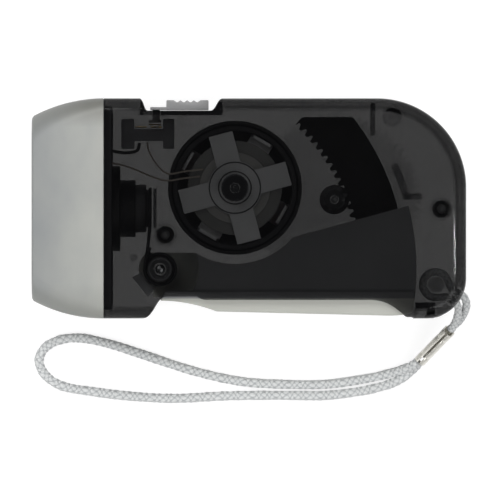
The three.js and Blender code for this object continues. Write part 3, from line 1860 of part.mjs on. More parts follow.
function addLamp() {
  addPiece(torch, "head_bezel", headBezel(), frosted_silver);
  addPiece(torch, "lens", lens(), water_clear);
  addPiece(torch, "reflector", reflector(), mirror_coat);
  ledPlaces().forEach((place, i) => addPiece(torch, `led_${i + 1}`, led(place), led_clear));
  addPiece(torch, "led_board", ledBoard(), board_green);
  addPiece(torch, "lamp_carrier", lampCarrier(), black_plastic);
  for (let i = 0; i < cell_count; i++) {
    const start = cells_start + i * (cell_length + seat_gap);
    addPiece(torch, `button_cell_${i + 1}`, buttonCell(start), steel);
  }
  addPiece(torch, "cell_contact", endContact(), steel);
}

function addSwitch() {
  const x0 = joint_x + switch_left;
  const x1 = x0 + switch_length;
  addPiece(torch, "switch_base", switchBase(), black_plastic);
  const left = x0 + switch_block_left + seat_gap;
  const right = x1 - switch_block_right - seat_gap;
  addPiece(torch, "switch_contact_1", switchContact(left, left + contact_length), brass);
  addPiece(torch, "switch_contact_2", switchContact(right - contact_length, right), brass);
  addPiece(torch, "switch_knob", switchKnob(), light_grey_plastic);
  addPiece(torch, "switch_wiper", switchWiper(), brass);
}

function addLever() {
  const arm = new THREE.Group();
  arm.position.set(pivot.x, pivot.y, 0);
  torch.add(arm);
  addPiece(arm, "lever", lever(), light_grey_plastic);
  addPiece(arm, "sector_gear", sectorGear(), black_plastic);
  sectorScrewPlaces().forEach((at, i) =>
    addPiece(arm, `sector_screw_${i + 1}`, sectorScrew(at), steel),
  );
  addPiece(arm, "torsion_spring", torsionSpring(), steel);
  const pin_end = front_inner - 2 * seat_gap;
  addPiece(arm, "pivot_pin", cylinder(pivot_pin_radius, wall + seat_gap, pin_end), steel);
  addPiece(torch, "lever_lock", leverLock(), black_plastic);
  const gap = leastGap(springLine(), spring_wire, spring_steps / 2);
  console.log("least gap in the spring", gap.toFixed(2));
}

function addGears() {
  const axle = new THREE.Group();
  axle.position.set(gear.x, gear.y, 0);
  torch.add(axle);
  addPiece(axle, "large_wheel", largeWheel(), water_clear);
  addPiece(axle, "drive_pinion", drivePinion(), water_clear);
  addPiece(
    axle,
    "gear_pin",
    cylinder(gear_pin_radius, wall + seat_gap, z_shoulder - seat_gap),
    steel,
  );
}

function addGenerator() {
  const shaft = new THREE.Group();
  shaft.position.set(rotor.x, rotor.y, 0);
  torch.add(shaft);
  const front_turn = 90 + claw_turn_angle;
  const rear_turn = front_turn + 180 / claw_count;
  addPiece(
    shaft,
    "rotor_axle",
    cylinder(rotor_axle_radius, wall + seat_gap, z_shoulder - seat_gap),
    steel,
  );
  addPiece(shaft, "rotor_pinion", rotorPinion(), brass);
  addPiece(shaft, "rotor_cup", rotorCup(), black_plastic);
  addPiece(shaft, "ring_magnet", ringMagnet(), magnet_black);
  addPiece(shaft, "front_claw_plate", clawPlate(z_front_claw, -1, front_turn), steel);
  addPiece(shaft, "rear_claw_plate", clawPlate(z_rear_claw, 1, rear_turn), steel);
  addPiece(shaft, "coil_bobbin", coilBobbin(), natural_nylon);
  addPiece(shaft, "coil_winding", coilWinding(), copper);
}

// A lead's points in the torch, from places along the neck and above or below a level
function leadFrom(level, reach, points) {
  return points.map(([x, y, z]) => [joint_x + x * fit, level + y * reach, middle + z * deep]);
}

function addWires() {
  const under = leadFrom(bar_top - switch_bar_height, 1, lamp_lead_route);
  const from_switch = leadFrom(bar_top - switch_bar_height, 1, switch_lead_start);
  const from_carrier = leadFrom(0, bore_fit, carrier_lead_start);
  addPiece(torch, "lamp_lead", tube(under, wire_radius, wire_sides, lead_steps), black_plastic);
  [from_switch, from_carrier].forEach((start, i) => {
    const lead = coilLead(start, lead_edge_angles[i], lead_end_angles[i]);
    addPiece(torch, `coil_lead_${i + 1}`, lead, copper);
  });
}

// A route laid out for cord_corner, moved to where the tail corner is and sized with the plan
function withCorner(points) {
  return points.map(([x, y, z]) => [
    (x - cord_corner[0]) * fit + tail_corner.x,
    (y - cord_corner[1]) * fit + tail_corner.y,
    z,
  ]);
}

// The eye's route: in through the slot, round the post inside the corner and out again
function eyeRoute() {
  const inside = [
    [tail_bottom_radius, -eye_spread],
    [tail_bottom_radius - wall - eye_spread, -eye_spread],
    [strap_post_reach + eye_ring_radius / 2, -eye_ring_radius * Math.sqrt(3 / 4)],
    [strap_post_reach, -eye_ring_radius],
    [strap_post_reach - eye_ring_radius * Math.SQRT1_2, -eye_ring_radius * Math.SQRT1_2],
    [strap_post_reach - eye_ring_radius, 0],
  ];
  const mirrored = inside.slice(0, -1).reverse().map(([u, v]) => [u, -v]);
  const lean = strap_slot_angle * degrees;
  const placed = [...inside, ...mirrored].map(([u, v]) => [
    tail_corner.x + u * Math.cos(lean) - v * Math.sin(lean),
    tail_corner.y + u * Math.sin(lean) + v * Math.cos(lean),
    middle,
  ]);
  // The ends stay in the crimp near the ground, and the middle follows the slot
  const lift = ([x, y, z], share) => [x, y, z + (middle - cord_corner[2]) * share];
  const last = eye_end.length - 1;
  return [
    ...withCorner(eye_start).map((point, i) => lift(point, i / (eye_start.length - 1))),
    ...placed,
    ...withCorner(eye_end).map((point, i) => lift(point, (last - i) / last)),
  ];
}

function addStrap() {
  const loop = tube(withCorner(strap_route), cord_radius, cord_sides, loop_steps);
  addPiece(torch, "strap_loop", loop, cord_grey);
  addPiece(torch, "strap_eye", tube(eyeRoute(), eye_radius, cord_sides, eye_steps), cord_grey);
  addPiece(torch, "strap_crimp", strapCrimp(), steel);
}

addShells();
addLamp();
addSwitch();
addLever();
addGears();
addGenerator();
addWires();
addStrap();

export default torch;
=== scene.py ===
# %% [markdown]
# # A squeeze dynamo torch
# The torch lies flat on its back, seen from above: a smoked see-through body with a claw pole
# generator inside, a frosted lamp head at one end and a wrist strap at the other. The packed
# model gives every place and size, and this lesson gives the looks on top of it.

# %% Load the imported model
import bmesh
import bpy
import math
from mathutils import Matrix, Vector


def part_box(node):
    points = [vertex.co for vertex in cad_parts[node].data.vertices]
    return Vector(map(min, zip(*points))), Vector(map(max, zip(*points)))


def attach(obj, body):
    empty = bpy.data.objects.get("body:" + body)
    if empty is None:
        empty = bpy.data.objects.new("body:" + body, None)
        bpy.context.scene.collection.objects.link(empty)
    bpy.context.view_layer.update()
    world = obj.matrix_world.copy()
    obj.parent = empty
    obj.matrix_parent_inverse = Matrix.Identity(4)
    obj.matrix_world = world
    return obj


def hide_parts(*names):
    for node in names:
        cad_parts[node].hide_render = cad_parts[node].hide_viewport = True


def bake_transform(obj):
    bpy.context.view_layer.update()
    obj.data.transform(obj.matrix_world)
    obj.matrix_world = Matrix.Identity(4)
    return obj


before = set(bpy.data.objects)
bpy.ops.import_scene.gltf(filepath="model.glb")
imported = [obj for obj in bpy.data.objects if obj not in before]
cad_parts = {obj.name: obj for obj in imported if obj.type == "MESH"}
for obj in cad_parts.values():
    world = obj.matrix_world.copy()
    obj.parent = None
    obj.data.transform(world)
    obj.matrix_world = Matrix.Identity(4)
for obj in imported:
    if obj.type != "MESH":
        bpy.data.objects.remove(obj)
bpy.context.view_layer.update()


# %% [markdown]
# ## The camera
# A product photo of a flat thing is taken straight from above with a long lens, so that all its
# edges stay in place. The camera therefore stands 3 m above the middle of the body. A nearer
# camera would show the torch's sides.

# %% The camera
MM = 0.001
view_centre, view_height, view_width = (0.26, -10.05), 3000, 121.25
middle = 15.0
camera_data = bpy.data.cameras.new("camera")
camera_data.sensor_width = 36
# The view is as wide as given halfway up the body
camera_data.lens = camera_data.sensor_width * (view_height - middle) / view_width
camera = bpy.data.objects.new("camera", camera_data)
camera.location = [place * MM for place in (*view_centre, view_height)]
bpy.context.collection.objects.link(camera)
bpy.context.scene.camera = camera
print("the lens is", round(camera_data.lens), "mm long")

# %% [markdown]
# ## Plastics and metals
# Nearly all of the torch is moulded plastic or pressed and turned metal. A flat colour would look
# like paper, so each surface gets a slight unevenness in colour and gloss and a fine bump, from
# noise in the object's own space, whose scale is per metre. Two functions make the opaque
# ones, and each material is defined beside the piece that it is first used on.

# %% Colours and nodes
def linear(colour):
    """A colour written as sRGB hex, as linear red, green, blue and alpha."""
    parts = [((colour >> shift) & 255) / 255 for shift in (16, 8, 0)]
    return (*[p / 12.92 if p <= 0.04045 else ((p + 0.055) / 1.055) ** 2.4 for p in parts], 1)


def mottled(colour, share):
    """The linear colours a share below and above a colour."""
    return [(*[min(1, c * (1 + way * share)) for c in linear(colour)[:3]], 1) for way in (-1, 1)]


def add(tree, kind, inputs=None, **settings):
    """One node with its settings, and its inputs as values, as sockets or as the nodes before it."""
    node = tree.nodes.new(kind if "Node" in kind else "ShaderNode" + kind)
    for name, value in settings.items():
        setattr(node, name, value)
    for name, value in (inputs or {}).items():
        if isinstance(value, bpy.types.Node):
            value = next(socket for socket in value.outputs if socket.enabled)
        if isinstance(value, bpy.types.NodeSocket):
            tree.links.new(value, node.inputs[name])
        else:
            node.inputs[name].default_value = value
    return node


def new_material(name):
    """A material with an empty net, and the object's coordinates to draw its patterns by."""
    material = bpy.data.materials.new(name)
    material.use_nodes = True
    material.node_tree.nodes.clear()
    place = add(material.node_tree, "TexCoord").outputs["Object"]
    return material, material.node_tree, place


# Most of a noise's values lie in this range, so a range of gloss is spread over it
SPREAD = {"From Min": 0.3, "From Max": 0.7}
print("colours are written as sRGB, for example", linear(0xB7B8B1))

# %% Plastic and metal
def dressed(tree, colour, mottle, gloss_range, marks, grain, strength, depth, inputs):
    """Ends a material's net: the marks vary its tone and gloss, and the grain dents it."""
    low, high = mottled(colour, mottle)
    tone = add(tree, "Mix", {0: marks, 6: low, 7: high}, data_type="RGBA")
    gloss = add(tree, "MapRange", {
        **SPREAD, "Value": marks, "To Min": gloss_range[0], "To Max": gloss_range[1]})
    dent = add(tree, "Bump", {"Strength": strength, "Distance": depth, "Height": grain})
    shader = add(tree, "BsdfPrincipled", {
        "Base Color": tone, "Roughness": gloss, "Normal": dent, **inputs})
    add(tree, "OutputMaterial", {"Surface": shader})


def plastic(name, colour, rough, bump=0.02, mottle=0.06, specular=0.5, grain=900):
    """A moulded plastic with a slight unevenness in colour, gloss and surface."""
    material, tree, place = new_material(name)
    fine = add(tree, "TexNoise", {"Vector": place, "Scale": grain, "Detail": 4})
    broad = add(tree, "TexNoise", {"Vector": place, "Scale": 60, "Detail": 2})
    dressed(tree, colour, mottle, (rough * 0.9, rough * 1.15), broad, fine, bump, 0.0002,
            {"Specular IOR Level": specular})
    return material


def metal(name, colour, rough, brushed=(1, 1, 1), mottle=0.08, bump=0.02, pure=1.0):
    """A metal with fine marks that follow the way it was worked, and less pure if it is dull."""
    material, tree, place = new_material(name)
    worked = add(tree, "Mapping", {"Vector": place, "Scale": brushed})
    marks = add(tree, "TexNoise", {"Vector": worked, "Scale": 700, "Detail": 5, "Roughness": 0.6})
    dressed(tree, colour, mottle, (rough * 0.8, rough * 1.3), marks, marks, bump, 0.0001,
            {"Metallic": pure})
    return material


print("plastic and metal ready")

# %% [markdown]
# ## The wrist strap
# The strap is a braided cord in three parts: a long loop, a small eye through the tail corner,
# and a crimped sleeve that holds their four ends. A picture of a braid on a smooth tube would
# look printed this near, so the braid is modelled: four strands run each way and pass over and
# under each other, and each crossing stands up as a small pillow.

# %% The cord's polyester
# Loose polyester yarn is pale grey and matt with fine fibres, and the gaps between its strands get a painted
# shade of darker grey
cord_polyester, tree, place = new_material("braided_polyester")
painted_gap_shade = add(tree, "Attribute", attribute_name="braid")
fibres = add(tree, "TexNoise", {"Vector": place, "Scale": 4200, "Detail": 3})
strand = add(tree, "Mix", {0: fibres, 6: linear(0xC8CBCC), 7: linear(0xEBECEB)}, data_type="RGBA")
# Painted shade: where the braid is low, between the strands, the yarn turns a darker grey
tone = add(tree, "Mix", {0: painted_gap_shade.outputs["Fac"], 6: linear(0x9A9DA0), 7: strand}, data_type="RGBA")
dent = add(tree, "Bump", {"Strength": 0.25, "Distance": 0.0001, "Height": fibres})
shader = add(tree, "BsdfPrincipled", {
    "Base Color": tone, "Roughness": 0.8, "Sheen Weight": 0.25, "Normal": dent})
add(tree, "OutputMaterial", {"Surface": shader})
print("cord material with", len(tree.nodes), "nodes")

# %% The cords' routes
loop_radius, eye_radius = 1.2, 1.0
LOOP_ROUTE = [
    (41.2, -37.25, 5.62), (39.4, -38.35, 4), (36.8, -39.35, 2.2), (33.5, -40.3, 1.45),
    (29.8, -41.15, 1.3), (19.1, -42.72, 1.3), (8.5, -42.75, 1.3), (-1.5, -42.1, 1.3),
    (-12.8, -39.7, 1.3), (-27.1, -35.1, 1.3), (-34.1, -32.9, 1.3), (-41.1, -31.5, 1.3),
    (-46.2, -32, 1.3), (-49.7, -33.9, 1.3), (-51.1, -36.8, 1.3), (-50, -40, 1.3),
    (-46.2, -42.9, 1.3), (-37.7, -44.6, 1.3), (-27.1, -45.8, 1.3), (-17.9, -46.2, 1.3),
    (-5.8, -45.6, 1.3), (4.9, -45.45, 1.3), (12.1, -45.5, 1.3), (19.1, -45.45, 1.3),
    (29.8, -43.95, 1.3), (36.2, -41.9, 1.45), (39.6, -39.4, 2), (41.5, -37.35, 3.1)]
EYE_ROUTE_IN = [(49.2, -29.4, 9.8), (50.2, -27.3, 11.9), (50.8, -25, 14)]
EYE_ROUTE_OUT = [(52.7, -22.6, 14.3), (52.3, -25.4, 11.7), (50.5, -27.9, 8.9), (48.9, -29.3, 7.3)]
# Inside the body the eye goes round a post, seen here from the middle of the tail's round corner
EYE_INSIDE = [
    (9.7, -1.25), (6.65, -1.25), (4.45, -2.685), (2.9, -3.1), (0.708, -2.192), (-0.2, 0),
    (0.708, 2.192), (2.9, 3.1), (4.45, 2.685), (6.65, 1.25), (9.7, 1.25)]
TAIL_CORNER = (42.8, -16.9)
SLOT_ANGLE = math.radians(-32)


def from_corner(points):
    """Points along and across the strap's slot, as places in the torch."""
    cos, sin = math.cos(SLOT_ANGLE), math.sin(SLOT_ANGLE)
    return [(TAIL_CORNER[0] + u * cos - v * sin, TAIL_CORNER[1] + u * sin + v * cos)
            for u, v in points]


EYE_ROUTE = EYE_ROUTE_IN + [(x, y, middle) for x, y in from_corner(EYE_INSIDE)] + EYE_ROUTE_OUT
print(len(LOOP_ROUTE), "points on the loop,", len(EYE_ROUTE), "on the eye")

# %% Meshes from points
def put(name, mesh):
    """A new object at the origin."""
    made = bpy.data.objects.new(name, mesh)
    bpy.context.collection.objects.link(made)
    return made


def tidy(mesh, angle=34, merge=True):
    """Merges doubles, turns normals outwards and keeps only clear edges sharp."""
    work = bmesh.new()
    work.from_mesh(mesh)
    if merge:
        bmesh.ops.remove_doubles(work, verts=work.verts, dist=2e-6)
    bmesh.ops.recalc_face_normals(work, faces=work.faces)
    work.to_mesh(mesh)
    work.free()
    mesh.polygons.foreach_set("use_smooth", [True] * len(mesh.polygons))
    mesh.set_sharp_from_angle(angle=math.radians(angle))


def piece(name, points, faces, material=None, angle=34):
    """An object from points in millimetres."""
    mesh = bpy.data.meshes.new(name)
    mesh.from_pydata([(x * MM, y * MM, z * MM) for x, y, z in points], [], faces)
    if material:
        mesh.materials.append(material)
    tidy(mesh, angle)
    return put(name, mesh)


def shape(loops, closed=False):
    """Points and faces through loops that all have as many points, with caps unless closed."""
    size = len(loops[0])
    points = [point for loop in loops for point in loop]
    rows = len(loops) if closed else len(loops) - 1
    faces = []
    for k in range(rows):
        a, b = k * size, ((k + 1) % len(loops)) * size
        faces += [(a + i, a + (i + 1) % size, b + (i + 1) % size, b + i) for i in range(size)]
    if not closed:
        faces += [tuple(range(size)), tuple(reversed(range(len(points) - size, len(points))))]
    return points, faces


print("mesh helpers ready")

# %% Tubes along a route
def spline(points, step):
    """Points a step apart along a centripetal spline through the given points, and its length."""
    first, last = [tuple(2 * a - b for a, b in zip(points[i], points[j])) for i, j in ((0, 1), (-1, -2))]
    knots = [Vector(p) for p in (first, *points, last)]
    fine = []
    for p0, p1, p2, p3 in zip(knots, knots[1:], knots[2:], knots[3:]):
        t1 = (p1 - p0).length ** 0.5
        t2 = t1 + (p2 - p1).length ** 0.5
        t3 = t2 + (p3 - p2).length ** 0.5
        for k in range(40):
            t = t1 + (t2 - t1) * k / 40
            share = (t - t1) / (t2 - t1)
            nearer = p1.lerp(p2, share)
            before = p0.lerp(p1, t / t1).lerp(nearer, t / t2)
            after = nearer.lerp(p2.lerp(p3, (t - t2) / (t3 - t2)), (t - t1) / (t3 - t1))
            fine.append(before.lerp(after, share))
    fine.append(knots[-2])
    walked = [0.0]
    for a, b in zip(fine, fine[1:]):
        walked.append(walked[-1] + (b - a).length)
    count = max(2, round(walked[-1] / step))
    even, k = [], 0
    for i in range(count + 1):
        want = walked[-1] * i / count
        while k < len(walked) - 2 and walked[k + 1] < want:
            k += 1
        even.append(fine[k].lerp(fine[k + 1], (want - walked[k]) / (walked[k + 1] - walked[k])))
    return even, walked[-1]


def frames(line):
    """A side and an up direction at every point of a line, carried along without twist."""
    up = Vector((0, 0, 1))
    done = []
    for i in range(len(line)):
        tangent = (line[min(i + 1, len(line) - 1)] - line[max(i - 1, 0)]).normalized()
        up = (up - tangent * up.dot(tangent)).normalized()
        done.append((tangent.cross(up).normalized(), up))
    return done


def tube(name, route, radius, material, step=0.25, sides=12, angle=60):
    """A tube whose radius is a number, or a function of the place along it and the turn round it."""
    line, length = spline(route, step)
    loops = []
    for i, ((side, up), centre) in enumerate(zip(frames(line), line)):
        loop = []
        for k in range(sides):
            a = 2 * math.pi * k / sides
            r = radius(length * i / (len(line) - 1), k / sides) if callable(radius) else radius
            loop.append(tuple(centre + side * (r * math.cos(a)) + up * (r * math.sin(a))))
        loops.append(loop)
    return piece(name, *shape(loops), material, angle), line, length


print("the loop's route is", round(spline(LOOP_ROUTE, 1)[1], 1), "mm long")

# %% Loop and eye
def pillow(along, turn, pitch, strands):
    """How high the braid stands at a place, from 0 in a gap to 1 on a crossing's crown."""
    a = along / pitch + turn * strands / 2
    b = along / pitch - turn * strands / 2
    over = (math.floor(a) + math.floor(b)) % 2
    across, length = (b % 1, a % 1) if over else (a % 1, b % 1)
    ridge = 1 - abs(2 * across - 1) ** 2.2
    crown = 1 - 0.55 * abs(2 * length - 1) ** 2
    return max(0.0, ridge * crown)


def braided(name, route, radius, pitch, strands=8, depth=0.2):
    """A braided cord, whose heights are kept as an attribute that carries the painted shade in its gaps."""
    heights = []

    def surface(along, turn):
        # A hand-worn braid isn't quite even, so its pitch and its thickness wander a little
        drift = 0.22 * math.sin(along * 0.8) + 0.16 * math.sin(along * 2.3 + 1)
        drift += 0.08 * math.sin(6.28 * turn + along)
        wander = 0.03 * math.sin(along * 0.9 + 6 * math.sin(along * 0.13))
        heights.append(pillow(along + drift, turn, pitch, strands))
        return radius * (1 - depth + depth * heights[-1] + wander)

    made, line, length = tube(name, route, surface, cord_polyester, 0.12, 30, 80)
    # The braid attribute is the mask of the painted shade, 0 in a gap and 1 on a strand
    marks = made.data.attributes.new("braid", "FLOAT", "POINT")
    marks.data.foreach_set("value", [min(1.0, h * 1.5) for h in heights])
    return made, line, length


def hand_over(obj, node, body="case"):
    """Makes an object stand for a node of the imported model."""
    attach(obj, body)
    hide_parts(node)


loop, loop_line, loop_length = braided("wrist_loop", LOOP_ROUTE, loop_radius, 1.5)
eye, eye_line, eye_length = braided("wrist_eye", EYE_ROUTE, eye_radius, 1.3)
hand_over(loop, "strap_loop")
hand_over(eye, "strap_eye")
print("loop", round(loop_length, 1), "mm, eye", round(eye_length, 1), "mm")

# %% [markdown]
# ## The crimped sleeve
# The sleeve is a strip of sheet metal bent round the four ends, with a seam that stays open, and
# pressed in twice. A section is drawn once and swept in short steps between the cords' ends, and
# is narrower where the tool pressed. A bent sheet with Solidify would need the same steps.

# %% Modifiers made plain, and the crimp
def applied(obj, angle=34):
    """The object with its modifiers worked out into a plain mesh."""
    bpy.context.view_layer.update()
    graph = bpy.context.evaluated_depsgraph_get()
    result = bpy.data.meshes.new_from_object(obj.evaluated_get(graph))
    obj.modifiers.clear()
    old, obj.data = obj.data, result
    result.name = obj.name
    bpy.data.meshes.remove(old)
    tidy(result, angle)
    return obj


def bevelled(obj, width, segments=2, limit=40):
    """Rounds the clear edges of an object by a width in millimetres."""
    modifier = obj.modifiers.new("bevel", "BEVEL")
    modifier.width, modifier.segments = width * MM, segments
    modifier.limit_method, modifier.angle_limit = "ANGLE", math.radians(limit)
    return applied(obj)


def polar(centre, radius, turn):
    """The point at a distance from a centre, at a turn in degrees."""
    angle = math.radians(turn)
    return (centre[0] + radius * math.cos(angle), centre[1] + radius * math.sin(angle))


def arc(centre, radius, start, end, steps):
    """Points along an arc whose turns are in degrees."""
    return [polar(centre, radius, start + (end - start) * i / steps) for i in range(steps + 1)]


crimp_wall, crimp_width, crimp_stack, crimp_seam, crimp_gap = 0.4, 2.9, 2.6, 0.5, 0.7
crimp_outline, lift = [], crimp_stack / 2
for radius in (crimp_width / 2, crimp_width / 2 - crimp_wall):
    lean = math.degrees(math.asin(crimp_seam / 2 / radius))
    line = (arc((0, lift), radius, 90 + lean, 180, 8) + arc((0, -lift), radius, 180, 270, 8)
            + arc((0, -lift), radius, -90, 0, 8) + arc((0, lift), radius, 0, 90 - lean, 8))
    crimp_outline += reversed(line) if crimp_outline else line
# A nickel coat on brass is bright, but a tumbled sleeve this small has a satin face
crimp_metal = metal("nickel_plated_brass", 0xE8E6DE, 0.42, mottle=0.06, bump=0.04, pure=0.5)
low_end = (Vector(LOOP_ROUTE[0]) + Vector(LOOP_ROUTE[-1])) / 2
high_end = (Vector(EYE_ROUTE[0]) + Vector(EYE_ROUTE[-1])) / 2
along = high_end - low_end
crimp_length = along.length - 2 * crimp_gap
along.normalize()
side = Vector((0, 0, 1)).cross(along).normalized()
up = along.cross(side)
loops = []
for k in range(25):
    s = k / 24
    full = 1 - 0.12 * max(0, math.cos(math.pi * (3 * s - 0.5)) ** 3) * (0.2 < s < 0.8)
    centre = low_end + along * (crimp_gap + crimp_length * s)
    loops.append([tuple(centre + side * (x * full) + up * (y * full)) for x, y in crimp_outline])
crimp = bevelled(piece("strap_crimp_sleeve", *shape(loops), crimp_metal, 40), 0.08)
hand_over(crimp, "strap_crimp")
print("the crimp is", round(crimp_length, 1), "mm long")

# %% [markdown]
# ## The smoked shells
# The body is two thin mouldings of smoked polycarbonate that meet halfway. Rings of the body's
# outline, drawn in by a quarter circle towards each face, give the soft edge. The hollow is the
# same form 1.8 mm further in, and the recess, the mouth and the slots are cut out of both. A
# rounded block would be quicker, but its edge would run into the openings at the wrong places.

# %% Turned, drawn and carved solids
def rounded(outline, radius, steps=4, keep=()):
    """A closed outline with its corners rounded, except those whose numbers are kept."""
    done = []
    for i, point in enumerate(outline):
        here = Vector(point)
        back = Vector(outline[i - 1]) - here
        on = Vector(outline[(i + 1) % len(outline)]) - here
        if i in keep or back.length * on.length == 0 or back.angle(on) > math.radians(172):
            done.append(tuple(here))
            continue
        reach = min(radius / math.tan(back.angle(on) / 2), 0.45 * back.length, 0.45 * on.length)
        start, end = here + back.normalized() * reach, here + on.normalized() * reach
        for s in [k / steps for k in range(steps + 1)]:
            done.append(tuple(start * (1 - s) ** 2 + here * 2 * s * (1 - s) + end * s ** 2))
    return done


def lathe(name, profile, material=None, centre=(0, 0), along="z", soft=0.15, sides=96):
    """A closed profile of (radius, place along the axis), turned about an axis along Z or X."""
    line = rounded(profile, soft, 3, [i for i, (r, _) in enumerate(profile) if r == 0])
    loops = []
    for k in range(sides):
        ring = [(*polar(centre, r, 360 * k / sides), h) for r, h in line]
        loops.append(ring if along == "z" else [(h, u, v) for u, v, h in ring])
    return piece(name, *shape(loops, closed=True), material)


def turned(name, centre, inner, outer, low, high, material=None, **form):
    """A rod, a disc or a ring from one place along its axis to another."""
    profile = [(inner, low), (outer, low), (outer, high), (inner, high)]
    return lathe(name, profile, material, centre, **form)


def prism(name, outline, z0, z1, material=None, place=(0, 0)):
    """An outline in X and Y as a solid from z0 to z1."""
    loops = [[(place[0] + x, place[1] + y, z) for x, y in outline] for z in (z0, z1)]
    return piece(name, *shape(loops), material)


def block(x0, x1, y0, y1, z0, z1, name="block", material=None, place=(0, 0)):
    return prism(name, [(x0, y0), (x1, y0), (x1, y1), (x0, y1)], z0, z1, material, place)


def carved(obj, *others, operation="DIFFERENCE"):
    """Cuts other solids out of an object, or joins them to it, and removes them."""
    for other in others:
        modifier = obj.modifiers.new("carve", "BOOLEAN")
        modifier.operation, modifier.solver, modifier.object = operation, "EXACT", other
    applied(obj)
    for other in others:
        bpy.data.objects.remove(other)
    return obj


def merged(name, parts, *materials):
    """Several solids as one object, each still a closed body with the material it has."""
    points, faces, numbers = [], [], []
    for part in parts:
        own = part.data.materials[0] if part.data.materials else materials[0]
        first = len(points)
        points += [vertex.co[:] for vertex in part.data.vertices]
        faces += [[first + i for i in face.vertices] for face in part.data.polygons]
        numbers += [materials.index(own)] * len(part.data.polygons)
        bpy.data.objects.remove(part)
    mesh = bpy.data.meshes.new(name)
    mesh.from_pydata(points, [], faces)
    for material in materials:
        mesh.materials.append(material)
    mesh.polygons.foreach_set("material_index", numbers)
    tidy(mesh, merge=False)
    return put(name, mesh)


print("helpers for solids ready")

# %% Smoked polycarbonate
def smoked(name, colour, alpha, edge_alpha, rough):
    """Smoked polycarbonate: dark, glossy and partly clear, and darker where it is seen aslant."""
    material, tree, place = new_material(name)
    broad = add(tree, "TexNoise", {"Vector": place, "Scale": 45, "Detail": 3})
    fine = add(tree, "TexNoise", {"Vector": place, "Scale": 1500, "Detail": 3})
    dent = add(tree, "Bump", {"Strength": 0.015, "Distance": 0.0003, "Height": broad})
    slant = add(tree, "LayerWeight", {"Blend": 0.5})
    even = add(tree, "MapRange", {
        **SPREAD, "Value": broad, "To Min": alpha - 0.012, "To Max": alpha + 0.012})
    depth = add(tree, "MapRange", {
        "Value": slant.outputs["Facing"], "From Min": 0.3, "From Max": 0.85,
        "To Min": even, "To Max": edge_alpha})
    gloss = add(tree, "MapRange", {
        **SPREAD, "Value": fine, "To Min": rough * 0.8, "To Max": rough * 1.6})
    shader = add(tree, "BsdfPrincipled", {
        "Base Color": linear(colour), "Specular IOR Level": 0.14,
        "Roughness": gloss, "Alpha": depth,
        "Normal": dent})
    add(tree, "OutputMaterial", {"Surface": shader})
    return material


# Smoked polycarbonate looks darker than it is, because light passes through it in and out
smoked_pc = smoked("smoked_polycarbonate", 0x0A0A0B, 0.53, 0.93, 0.05)
# Bosses and ribs are the same plastic. They overlap the wall, so each of their faces counts less
smoked_boss = smoked("smoked_polycarbonate_boss", 0x2A2A2B, 0.2, 0.4, 0.08)
smoked_rib = smoked("smoked_polycarbonate_rib", 0x2C2C2E, 0.48, 0.6, 0.08)
smoked_wall = smoked("smoked_polycarbonate_wall", 0x0A0A0B, 0.11, 0.3, 0.08)
SMOKED = (smoked_pc, smoked_wall, smoked_boss, smoked_rib)
print(len(SMOKED), "depths of smoked plastic")

# %% The body's outline
half_length, half_height, body_thickness = 52.5, 26.6, 30.0
joint_x, wall, edge_radius, tail_top, tail_bottom = -35.0, 1.8, 3.2, 21.5, 9.7
pivot, gear, rotor = (-21.5, -14.7), (20.746105, 2.197237), (-3.392853, 4.990209)
lever_length = 62.0
lever_reach = lever_length + 0.3


def body_outline(inset, left):
    """The body seen from the front, drawn in by an inset, always with as many points."""
    right, top = half_length - inset, half_height - inset
    low, high = tail_bottom - inset, tail_top - inset
    return [(left, -top), *arc((right - low, low - top), low, -90, 0, 24),
            *arc((right - high, top - high), high, 0, 90, 44), (left, top)]


def soft_body(name, inset, z0, z1, radius, left, steps=10):
    """The outline between two heights, with a quarter round at either end."""
    turns = [math.pi / 2 * k / steps for k in range(steps + 1)]
    edge = [(radius * (1 - math.sin(turn)), radius * (1 - math.cos(turn))) for turn in turns]
    levels = [(drawn, z0 + h) for drawn, h in edge] + [(drawn, z1 - h) for drawn, h in edge[::-1]]
    return piece(name, *shape([[(x, y, z) for x, y in body_outline(inset + drawn, left)]
                               for drawn, z in levels]))


def bezier(*points, steps=14):
    """The curve that the given points lead, without its first point."""
    done = []
    for i in range(1, steps + 1):
        left = points
        while len(left) > 1:
            left = [tuple(a + (b - a) * i / steps for a, b in zip(p, q))
                    for p, q in zip(left, left[1:])]
        done.append(left[0])
    return done


def recess_line(grow=0.0):
    """The outline of the knob's recess, grown outwards."""
    low, left, right, turn = 23.6 - grow, -26.5 - grow, -6.2 + grow, -9.4 + grow / 2
    return [(left, 29.6), (left, 26.6),
            *bezier((left, 26.6), (left + 1.05, 26.6), (left + 1.05, low), (left + 2.1, low)),
            (turn, low), *bezier((turn, low), (turn + 1.6, low), (-7.8 + grow, 26.6), (right, 26.6)),
            (right, 29.6)]


mouth_line = [
    (-25.8, -29.6), (-25.8, -26.6),
    *bezier((-25.8, -26.6), (-22.8, -26.6), (-22.8, -21.3), (-19.8, -21.3)), (-12.4, -21.3),
    *bezier((-12.4, -21.3), (-11.9, -21.8), (-11.2, -22.1), (-10.0, -22.1), steps=6),
    (29.1, -22.1), *bezier((29.1, -22.1), (33.85, -22.1), (35.43, -24.35), (38.6, -26.6)),
    (38.6, -29.6)]
swing_line = [(-22.8, -29.6), (-22.8, pivot[1] - 5.2), *arc(pivot, lever_reach, -4.79, -13.9, 12),
              (polar(pivot, lever_reach, -13.9)[0], -29.7)]
print(len(body_outline(0, joint_x)), "points in the outline")

